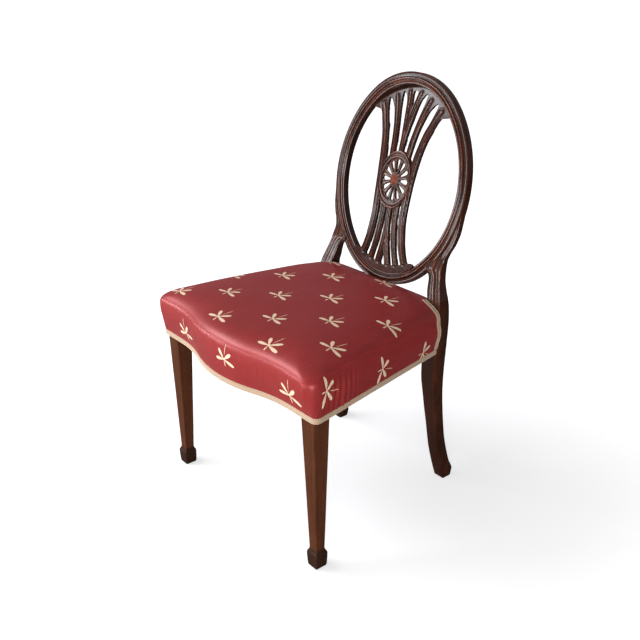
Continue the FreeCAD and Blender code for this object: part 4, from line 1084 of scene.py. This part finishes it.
def grain_group():
    """Wood figure along the first axis: streaks, broad bands and short dark pores."""
    tree, takes, gives = group(
        "wood grain",
        {"Vector": "vector", "Light": "colour", "Dark": "colour", "Figure": "value"},
        {"Color": "colour", "Height": "value"},
    )
    bands = streaky(tree, takes["Vector"], (3.0, 34.0, 34.0), 3.0, 0.6)
    streaks = streaky(tree, takes["Vector"], (9.0, 330.0, 330.0))
    pores = streaky(tree, takes["Vector"], (55.0, 1500.0, 1500.0), 1.0, 0.5)
    both = plus(tree, times(tree, bands, 0.6), times(tree, streaks, 0.4))
    figure = between(tree, both, 0.32, 0.68)
    share = times(tree, figure, takes["Figure"])
    colour = blended(tree, share, takes["Dark"], takes["Light"])
    pore = between(tree, pores, 0.36, 0.44)
    colour = blended(tree, times(tree, maths(tree, "SUBTRACT", 1.0, pore), 0.5), colour, takes["Dark"])
    give(tree, gives, Color=colour, Height=pore)
    return tree


def worn_group():
    """Polish rubbed through to a warmer colour where hands and cloths reach."""
    tree, takes, gives = group(
        "rubbed edges",
        {"Color": "colour", "Worn": "colour", "Wear": "value", "Amount": "value", "Vector": "vector"},
        {"Color": "colour", "Roughness": "value"},
    )
    patches = streaky(tree, takes["Vector"], (16.0, 30.0, 30.0), 3.0, 0.6)
    patch = between(tree, patches, 0.38, 0.66)
    rubbed = times(tree, times(tree, patch, takes["Wear"]), takes["Amount"], clamp=True)
    give(
        tree,
        gives,
        Color=blended(tree, rubbed, takes["Color"], takes["Worn"]),
        Roughness=between(tree, patches, 0.3, 0.75, 0.5, 0.36),
    )
    return tree


def weave_group():
    """A plain weave: threads over and under each other in two directions; its Shade output is painted shade, darker
    where the threads dip.
    """
    tree, takes, gives = group(
        "plain weave",
        {"Vector": "vector", "Threads": "value", "Slub": "value"},
        {"Height": "value", "Shade": "value"},
    )
    place = node(tree, "VectorMath", {0: takes["Vector"], "Scale": takes["Threads"]}, operation="SCALE").outputs[0]
    axes = node(tree, "SeparateXYZ", {0: place}).outputs
    waves = [maths(tree, "SINE", times(tree, axes[k], math.pi)) for k in range(2)]
    over = times(tree, *waves)
    uneven = streaky(tree, place, (0.05, 0.9, 1.0), 2.0, 0.5)
    height = plus(tree, maths(tree, "ABSOLUTE", over), times(tree, uneven, takes["Slub"]))
    # painted shade: Shade is lower where the weave's surface lies low
    give(tree, gives, Height=height, Shade=between(tree, height, 0.0, 1.3, 0.82, 1.0))
    return tree


def bruised_group():
    """Uneven colour and dust over any surface."""
    tree, takes, gives = group(
        "uneven colour",
        {"Color": "colour", "Tint": "colour", "Amount": "value", "Vector": "vector"},
        {"Color": "colour"},
    )
    cloud = between(tree, noise(tree, takes["Vector"], 14.0, 4.0, 0.6), 0.4, 0.7)
    give(tree, gives, Color=blended(tree, times(tree, cloud, takes["Amount"]), takes["Color"], takes["Tint"]))
    return tree


# Woven sprig of the silk: (across, up, half length, half width, turn in degrees) of each leaf, in mm
SPRIG_LEAVES = [
    (-15.5, -2.5, 14.0, 5.0, 190), (-9.5, 11.5, 12.5, 5.2, 130), (12.5, 11.5, 14.5, 5.0, 42),
    (18.5, -3.0, 16.5, 5.2, -8), (1.8, -9.0, 7.0, 2.0, -80), (4.0, 24.0, 15.0, 0.9, 83),
    (0.0, 1.0, 4.0, 4.0, 0),
]
SPRIG_ACROSS, SPRIG_DOWN = 0.193, 0.1698
SPRIG_SHIFT = (0.0365, 0.002)


def sprig_group():
    """The woven sprig on a half-drop repeat, as a mask over the flat cloth."""
    tree, takes, gives = group("woven sprig", {"Vector": "vector"}, {"Mask": "value"})
    total = None
    for drop in (0.0, 0.5):
        shift = (SPRIG_SHIFT[0] + drop * SPRIG_ACROSS, SPRIG_SHIFT[1] + drop * SPRIG_DOWN, 0.0)
        moved = node(tree, "VectorMath", {0: takes["Vector"], 1: shift}, operation="SUBTRACT").outputs[0]
        axes = node(tree, "SeparateXYZ", {0: moved}).outputs
        local = []
        for axis, repeat in ((0, SPRIG_ACROSS), (1, SPRIG_DOWN)):
            local.append(maths(tree, "WRAP", axes[axis], repeat / 2, -repeat / 2))
        for across, up, long, wide, turn in SPRIG_LEAVES:
            angle = math.radians(turn)
            dx = maths(tree, "SUBTRACT", local[0], across * MM)
            dy = maths(tree, "SUBTRACT", local[1], up * MM)
            cosine, sine = math.cos(angle), math.sin(angle)
            along, aside = (
                plus(tree, times(tree, dx, x / (reach * MM)), times(tree, dy, y / (reach * MM)))
                for x, y, reach in ((cosine, sine, long), (-sine, cosine, wide))
            )
            narrow = maths(tree, "MULTIPLY_ADD", along, 0.3, 0.75)
            aside = maths(tree, "DIVIDE", aside, maths(tree, "MAXIMUM", narrow, 0.2))
            far = plus(tree, times(tree, along, along), times(tree, aside, aside))
            petal = between(tree, far, 1.12, 0.86)
            total = petal if total is None else maths(tree, "MAXIMUM", total, petal)
    give(tree, gives, Mask=total)
    return tree


GRAIN, WORN, WEAVE = grain_group(), worn_group(), weave_group()
UNEVEN, SPRIG = bruised_group(), sprig_group()


def use(tree, effect, **inputs):
    """One of the shared effects, placed in a material with its own values."""
    made = tree.nodes.new("ShaderNodeGroup")
    made.node_tree = effect
    plug(tree, made, inputs)
    return made.outputs


def finish(name, **plain):
    """A material and its shader, with the values that are the same all over."""
    material = bpy.data.materials.new(name)
    material.use_nodes = True
    tree = material.node_tree
    shader = tree.nodes["Principled BSDF"]
    for key, value in plain.items():
        shader.inputs[key.replace("_", " ")].default_value = value
    return material, tree, shader


def bumped(tree, height, strength, distance, normal=None):
    inputs = {"Height": height, "Strength": strength, "Distance": distance}
    if normal is not None:
        inputs["Normal"] = normal
    return node(tree, "Bump", inputs).outputs[0]


def linear(red, green, blue):
    """A colour written as it looks, 0 to 255, as the shader takes it."""
    turned = [c / 255 / 12.92 if c <= 10 else ((c / 255 + 0.055) / 1.055) ** 2.4 for c in (red, green, blue)]
    return (*turned, 1.0)


def mark_of(tree, name, vector=True):
    made = node(tree, "Attribute", attribute_name=name)
    return made.outputs["Vector" if vector else "Fac"]


def polished_wood(name, dark, light, worn, amount, gloss, foot=None):
    """Old french-polished wood that carries its grain and wear on its points; foot is a darker colour low down."""
    material, tree, shader = finish(name, Coat_Weight=gloss, Coat_Roughness=0.15, Specular_IOR_Level=0.08)
    place = mark_of(tree, "grain")
    grain = use(tree, GRAIN, Vector=place, Light=light, Dark=dark, Figure=0.85)
    rubbed = use(
        tree, WORN, Color=grain["Color"], Worn=worn, Wear=mark_of(tree, "wear", False), Amount=amount, Vector=place
    )
    colour = rubbed["Color"]
    if foot:
        height = node(tree, "SeparateXYZ", {0: place}).outputs[0]
        colour = blended(tree, between(tree, height, 0.049, 0.042, 0.0, 0.75), colour, foot)
    give(
        tree,
        shader.inputs,
        Base_Color=colour,
        Roughness=rubbed["Roughness"],
        Normal=bumped(tree, grain["Height"], 0.1, 0.0001),
    )
    return material


def plain_wood(name, dark, light, turn):
    """Sawn wood inside the seat, its grain turned to run along the piece."""
    material, tree, shader = finish(name, Roughness=0.62)
    place = node(tree, "TexCoord").outputs["Object"]
    turned = node(tree, "VectorRotate", {"Vector": place, "Angle": turn}, rotation_type="Z_AXIS").outputs[0]
    grain = use(tree, GRAIN, Vector=turned, Light=light, Dark=dark, Figure=0.8)
    give(tree, shader.inputs, Base_Color=grain["Color"], Normal=bumped(tree, grain["Height"], 0.4, 0.0003))
    return material


def iron(name, colour, rust, roughness):
    material, tree, shader = finish(name, Metallic=0.9, Roughness=roughness)
    place = node(tree, "TexCoord").outputs["Object"]
    colour = use(tree, UNEVEN, Color=colour, Tint=rust, Amount=0.8, Vector=scaled(tree, place, (20.0, 20.0, 20.0)))
    give(tree, shader.inputs, Base_Color=colour["Color"], Normal=bumped(tree, noise(tree, place, 900.0), 0.2, 0.0002))
    return material


def plain_cloth(name, colour, tint, threads, depth, slub=0.4):
    """A woven cloth: threads per metre, and how deep the weave is."""
    material, tree, shader = finish(name, Roughness=0.9, Sheen_Weight=0.2)
    place = mark_of(tree, "cloth")
    weave = use(tree, WEAVE, Vector=place, Threads=threads, Slub=slub)
    # painted shade: the weave's Shade darkens the cloth where its threads dip
    shade = blended(tree, weave["Shade"], (0.0, 0.0, 0.0, 1.0), colour)
    cloud = use(tree, UNEVEN, Color=shade, Tint=tint, Amount=0.5, Vector=place)
    give(tree, shader.inputs, Base_Color=cloud["Color"], Normal=bumped(tree, weave["Height"], 0.6, depth))
    return material


def fluff(name, colour, tint, scale):
    """Loose fibre, curled or carded."""
    material, tree, shader = finish(name, Roughness=0.95, Sheen_Weight=0.3)
    place = mark_of(tree, "cloth")
    fibre = streaky(tree, place, (scale, scale * 0.4, scale), 6.0, 0.7)
    colour = use(tree, UNEVEN, Color=colour, Tint=tint, Amount=0.9, Vector=scaled(tree, place, (3.0, 3.0, 3.0)))
    give(tree, shader.inputs, Base_Color=colour["Color"], Normal=bumped(tree, fibre, 0.8, 0.002))
    return material


def figured_silk():
    """Crimson silk with a cream woven sprig, fine ribs down it and a soft sheen."""
    material, tree, shader = finish(
        "crimson_silk", Sheen_Weight=0.12, Sheen_Roughness=0.3, Sheen_Tint=linear(255, 140, 140),
        Specular_IOR_Level=0.9, Specular_Tint=linear(255, 176, 174),
    )
    place = mark_of(tree, "cloth")
    ribs = streaky(tree, place, (900.0, 14.0, 1.0))
    fine = use(tree, WEAVE, Vector=place, Threads=1400.0, Slub=0.3)
    ground = blended(tree, between(tree, ribs, 0.3, 0.7), linear(133, 36, 36), linear(158, 47, 45))
    ground = use(tree, UNEVEN, Color=ground, Tint=linear(128, 32, 35), Amount=0.35, Vector=place)["Color"]
    sprig = use(tree, SPRIG, Vector=place)["Mask"]
    # painted shade: the cream sprig is darker where the fine weave's threads dip
    cream = blended(tree, fine["Shade"], linear(176, 140, 112), linear(240, 216, 182))
    colour = blended(tree, sprig, ground, cream)
    height = plus(tree, times(tree, ribs, 0.6), times(tree, sprig, 0.8))
    give(
        tree,
        shader.inputs,
        Base_Color=colour,
        Roughness=between(tree, sprig, 0.0, 1.0, 0.4, 0.75),
        Normal=bumped(tree, height, 0.3, 0.0003),
    )
    return material


def gimp():
    """Cream silk-wound braid, with painted shade: darker where its surface lies low between the cords and loops."""
    material, tree, shader = finish("cream_braid", Roughness=0.72, Sheen_Weight=0.25)
    place = mark_of(tree, "cloth")
    axes = node(tree, "SeparateXYZ", {0: place}).outputs
    # painted shade: the height of the braid's surface darkens its colour where it lies low between cords and loops
    high = between(tree, axes[2], 0.0008, 0.0019)
    thread = streaky(tree, place, (1400.0, 500.0, 100.0))
    colour = blended(tree, high, linear(160, 128, 100), linear(216, 192, 164))
    colour = blended(tree, times(tree, thread, 0.25), colour, linear(150, 116, 92))
    give(tree, shader.inputs, Base_Color=colour, Normal=bumped(tree, thread, 0.5, 0.0004))
    return material


MAHOGANY = polished_wood("old_mahogany", linear(26, 12, 7), linear(70, 34, 18), linear(130, 64, 32), 0.6, 0.55)
LEG_MAHOGANY = polished_wood(
    "leg_mahogany", linear(64, 34, 19), linear(94, 52, 31), linear(140, 82, 50), 0.5, 0.06, linear(34, 24, 21)
)
SATINWOOD = polished_wood("orange_satinwood", linear(96, 38, 12), linear(132, 57, 22), linear(160, 84, 44), 0.3, 0.06)
FRAME_WOOD = plain_wood("beech_rails", linear(150, 110, 74), linear(186, 146, 104), 0.0)
FRAME_WOOD_DEEP = plain_wood("beech_side_rails", linear(150, 110, 74), linear(186, 146, 104), math.pi / 2)
SCREWS = iron("bright_steel", linear(170, 168, 164), linear(110, 92, 76), 0.35)
TACKS = iron("blued_tacks", linear(56, 58, 64), linear(90, 62, 44), 0.45)
WEBBING = plain_cloth("jute_webbing", linear(176, 142, 98), linear(128, 96, 62), 620.0, 0.0012)
HESSIAN = plain_cloth("hessian_cloth", linear(168, 134, 92), linear(130, 98, 64), 480.0, 0.0012, 0.7)
CALICO = plain_cloth("calico_cloth", linear(222, 212, 190), linear(198, 186, 160), 1500.0, 0.0003)
DUST_CLOTH = plain_cloth("black_dust_cloth", linear(40, 38, 38), linear(58, 54, 52), 900.0, 0.0004)
STUFFING = fluff("curled_hair", linear(58, 44, 34), linear(98, 78, 58), 600.0)
WADDING = fluff("cotton_wadding", linear(228, 224, 214), linear(206, 200, 186), 260.0)
SILK, BRAID = figured_silk(), gimp()


# The chair


def make_back():
    body_points, body_faces, body_marks = post_body()
    side = frame_length((-SIDE_SHIFT, 0), SIDE_RADIUS, -JOINT, 2 * JOINT)
    points, faces, marks = joined((body_points, body_faces, body_marks), side)
    for name, node_name in (("carved_post_right", "rear_post_right"), ("carved_post_left", "rear_post_left")):
        post = piece(name, points, faces, MAHOGANY, "mahogany", **marks)
        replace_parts(post, node_name)
        points, faces = mirrored(points, faces)
    for name, up in (("crest_rail", 1), ("lower_back_rail", -1)):
        start = JOINT if up > 0 else 180 + JOINT
        points, faces, marks = frame_length((0, up * END_SHIFT), END_RADIUS, start, 180 - 2 * JOINT)
        rail = piece("moulded_" + name, points, faces, MAHOGANY, "mahogany", **marks)
        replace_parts(rail, name)
    points, faces, marks = joined(splat_web(), rosette_ring(), rosette_plate())
    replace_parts(piece("carved_splat", points, faces, MAHOGANY, "mahogany", **marks), "splat")
    points, faces, marks = boss_dome()
    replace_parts(piece("turned_boss", points, faces, SATINWOOD, "satinwood", **marks), "rosette_boss")


def make_legs():
    points, faces, marks = leg_body()
    for side in ("right", "left"):
        leg = piece("spade_leg_" + side, points, faces, LEG_MAHOGANY, "mahogany", **marks)
        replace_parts(leg, "front_leg_" + side)
        points, faces = mirrored(points, faces)


def make_webs():
    long_places = [long_web_x(index) for index in range(LONG_WEBS)]
    cross_places = [cross_web_y(index) for index in range(CROSS_WEBS)]
    kinds = (
        ("long_web", long_places, cross_places, ["front_seat_rail", "rear_seat_rail"]),
        ("cross_web", cross_places, long_places, ["side_seat_rail_left", "side_seat_rail_right"]),
    )
    for kind, places, crossings, rails in kinds:
        across = kind == "cross_web"
        for index, place in enumerate(places):
            ends = (FRONT_FACE + RAIL_THICK - WEB_LAP, REAR_FACE + WEB_LAP)
            if across:
                reach = side_line(place + WEB_WIDE / 2, 3.0)
                ends = (-reach, reach)
            points, faces, marks, long = strap(ends, crossings, index % 2 == across, place, across)
            name = f"{kind}_{index + 1}"
            made = cloth_piece(
                "jute_" + name, points, faces, marks, WEB_THICK, WEBBING, "webbing"
            )
            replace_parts(made, name)


def rail_cloth(name, node_name, right, level, sag, material, slot):
    """A flat cloth tacked to the four rails; right is the right-hand half of its outline."""
    corners = right + [(-x, y) for x, y in reversed(right)]
    points, faces, marks = flat_cloth(corners, level, sag)
    made = cloth_piece(name, points, faces, marks, CLOTH_THICK, material, slot)
    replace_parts(made, node_name)


def make_flat_cloths():
    post = POST_SIDE - 2
    right = [
        (FRONT_RIM - 8, FRONT_FACE + 8), (REAR_RIM - 8, POST_FACE - 2), (post, POST_FACE - 2), (post, REAR_BACK - 3),
    ]
    level = HESSIAN_LEVEL + CLOTH_THICK
    rail_cloth("hessian_sheet", "hessian", right, level, 0.0, HESSIAN, "hessian")
    inner, leg, post = FRONT_RIM - 41.3, SIDE_START + 0.3, POST_SIDE - 0.3
    shoulder = POST_FACE - 0.3
    right = [
        (inner, FRONT_FACE + 6), (inner, leg), (side_line(leg, 6), leg), (side_line(shoulder, 6), shoulder),
        (post, shoulder), (post, REAR_BACK - 6),
    ]
    rail_cloth("dust_sheet", "dust_cover", right, RAIL_BOTTOM, 3.0, DUST_CLOTH, "dust_cloth")


def make_seat():
    points, faces, marks = seat_surface(STAND)
    points[:, 2] = np.maximum(points[:, 2], HESSIAN_LEVEL + CLOTH_THICK + LAYER_GAP)
    points[:, 2] -= 0.4 * ease(CROWN - 20, CROWN, points[:, 2])
    rim = len(seat_levels(STAND, 1)[0][1])
    closed = round_posts(points, faces + [tuple(reversed(range(rim)))], -2.0)
    points, faces, marks = without_strays(points, closed, marks)
    pad = piece("hair_pad", points, faces, STUFFING, "stuffing", 60, **marks)
    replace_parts(pad, "hair_stuffing")
    calico_inset, wadding_inset = STAND - LAYER_GAP - CLOTH_THICK, 1.4 + LAYER_GAP
    layers = (
        ("calico_sheet", "calico_cover", calico_inset, CLOTH_THICK, CALICO, "calico", "hair_pad"),
        ("wadding_sheet", "wadding", wadding_inset, 1.6, WADDING, "wadding", "calico_sheet"),
        ("silk_cover", "seat_cover", 0.0, 1.4, SILK, "silk", "wadding_sheet"),
    )
    for name, node_name, inset, thick, material, slot, rests_on in layers:
        outer = name == "silk_cover"
        points, faces, marks = seat_surface(inset, fine=2 if outer else 1)
        kept = round_posts(points, faces)
        tree = seat_tree(points, kept)
        drawn_to_posts(points, faces, kept)
        faces = kept
        if outer:
            points, faces, marks = turned_in(points, faces, marks)
        made = cloth_piece(name, points, faces, marks, thick, material, slot)
        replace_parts(made, node_name)
    return tree


def make_braids(tree):
    level = RAW_EDGE + BRAID_WIDE / 2 + 0.2
    rim = seat_outline(STAND + 0.1, STAND + 0.1, STAND + 0.1, 12, 1.0)
    ahead = np.roll(rim, -1, 0) - np.roll(rim, 1, 0)
    out = np.stack([ahead[:, 1], -ahead[:, 0]], -1) / np.linalg.norm(ahead, axis=1)[:, None]
    line = np.column_stack([rim, np.full(len(rim), level)])
    up = np.tile([0.0, 0.0, 1.0], (len(rim), 1))
    out = np.column_stack([out, np.zeros(len(rim))])
    front = rim[:, 1] < POST_FACE - 0.5
    middle = len(rim) // 2
    order = np.roll(np.arange(len(rim)), middle)

    def braid(name, node_name, path, across, normals):
        points, faces, marks, long = braid_strip(path, across, normals)
        made = piece(name, points, faces, BRAID, "braid", 60, **marks)
        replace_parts(made, node_name)

    keep = [k for k in order if front[k]]
    braid("gimp_front_and_sides", "front_and_side_braid", line[keep], up[keep], out[keep])
    keep = [k for k in range(len(rim)) if rim[k, 1] > REAR_BACK + 1 and abs(rim[k, 0]) < POST_SIDE - 1]
    braid("gimp_back", "back_braid", line[keep], up[keep], out[keep])
    rise = [
        (222.0, 160.5, 378.0), (226.5, 160.5, 394.0), (229.5, 160.5, 422.0), (226.5, 160.5, 440.0),
        (217.0, 161.5, 452.5), (204.0, 164.0, 465.5), (193.0, 167.0, 475.0), (180.0, 170.0, 484.0),
        (172.5, 172.0, 488.0),
    ]
    path, across, normals = laid_on(tree, rise, -BRAID_WIDE / 2)
    for side, name in ((1, "right"), (-1, "left")):
        flip = np.array([side, 1, 1])
        braid("gimp_post_" + name, "post_braid_" + name, path * flip, across * flip, normals * flip)


def make_frame_finishes():
    for name in ("front_seat_rail", "rear_seat_rail", "front_corner_block_left", "front_corner_block_right",
                 "rear_corner_block_left", "rear_corner_block_right"):
        paint(name, FRAME_WOOD)
    for name in ("side_seat_rail_left", "side_seat_rail_right"):
        paint(name, FRAME_WOOD_DEEP)
    paint("corner_block_screws", SCREWS)
    for name in ("webbing_tacks", "hessian_tacks", "dust_cover_tacks"):
        paint(name, TACKS)


def paint(name, material):
    slots = NODES[name].data.materials
    slots.clear()
    slots.append(material)


# Studio

DAYLIGHT = (0.94, 0.95, 1.0)


def make_camera():
    """The photograph's view: a 47 mm lens to the right of the front, at about table height over the seat."""
    data = bpy.data.cameras.new("photograph_view")
    data.sensor_width, data.lens = 36.0, 843.74 * 36 / 640
    camera = bpy.data.objects.new("photograph_view", data)
    SCENE.collection.objects.link(camera)
    right, up = (0.62796, 0.77816, -0.01196), (-0.29757, 0.25428, 0.92021)
    back = (0.71911, -0.57430, 0.39123)
    turn = Matrix((right, up, back)).transposed().to_4x4()
    camera.matrix_world = Matrix.Translation((1.42985, -1.14860, 1.20157)) @ turn
    data.clip_end = 50
    SCENE.camera = camera


def lamp(name, place, target, size, power, colour=(1, 1, 1)):
    data = bpy.data.lights.new(name, "AREA")
    data.shape, data.size, data.size_y, data.energy, data.color = "RECTANGLE", size[0], size[1], power, colour
    made = bpy.data.objects.new(name, data)
    SCENE.collection.objects.link(made)
    made.location = place
    made.rotation_mode = "QUATERNION"
    made.rotation_quaternion = (Vector(target) - Vector(place)).to_track_quat("-Z", "Y")


def make_studio():
    """A white room: a pale floor, a dim sky and soft lamps to both sides of the front."""
    world = bpy.data.worlds.new("studio")
    SCENE.world = world
    world.use_nodes = True
    tree = world.node_tree
    path = node(tree, "LightPath").outputs
    seen = maths(tree, "ADD", path["Is Camera Ray"], path["Is Transmission Ray"], clamp=True)
    fill = node(tree, "Background", {"Color": (0.94, 0.95, 1.0, 1.0), "Strength": 0.22}).outputs[0]
    white = node(tree, "Background", {"Color": (1, 1, 1, 1), "Strength": 1.0}).outputs[0]
    both = node(tree, "MixShader", {0: seen, 1: fill, 2: white}).outputs[0]
    tree.links.new(both, tree.nodes["World Output"].inputs["Surface"])
    mesh = bpy.data.meshes.new("floor")
    mesh.from_pydata([(-60, -60, 0), (60, -60, 0), (60, 60, 0), (-60, 60, 0)], [], [(0, 1, 2, 3)])
    material = bpy.data.materials.new("pale_floor")
    material.use_nodes = True
    tree = material.node_tree
    shader = tree.nodes["Principled BSDF"]
    shader.inputs["Roughness"].default_value = 0.9
    path = node(tree, "LightPath").outputs
    tone = blended(tree, path["Is Glossy Ray"], (0.6, 0.6, 0.6, 1), (0.14, 0.14, 0.14, 1))
    tree.links.new(tone, shader.inputs["Base Color"])
    place = node(tree, "TexCoord").outputs["Object"]
    away = node(tree, "VectorMath", {0: place}, operation="LENGTH").outputs["Value"]
    seen = times(tree, path["Is Camera Ray"], between(tree, away, 0.4, 2.0, 0.6, 1.0))
    tree.links.new(seen, shader.inputs["Emission Strength"])
    shader.inputs["Emission Color"].default_value = (1, 1, 1, 1)
    mesh.materials.append(material)
    floor = bpy.data.objects.new("floor", mesh)
    SCENE.collection.objects.link(floor)
    lamp("window_left", (-2.1, -2.1, 0.77), (0, 0, 0.6), (2.0, 0.42), 34, DAYLIGHT)
    lamp("window_high", (-1.8, -1.6, 2.35), (0, 0, 0.45), (2.4, 0.9), 80, DAYLIGHT)
    lamp("window_right", (2.4, -2.0, 0.75), (0, 0, 0.42), (1.0, 1.1), 54)
    lamp("front_fill", (-0.3, -3.2, 0.5), (0, 0, 0.4), (1.6, 0.9), 34)
    lamp("overhead", (0.0, 0.3, 3.0), (0, 0, 0.4), (2.4, 2.0), 2)
    SCENE.view_settings.view_transform = "Standard"


make_camera()
make_studio()
make_back()
make_legs()
make_webs()
make_flat_cloths()
make_braids(make_seat())
make_frame_finishes()
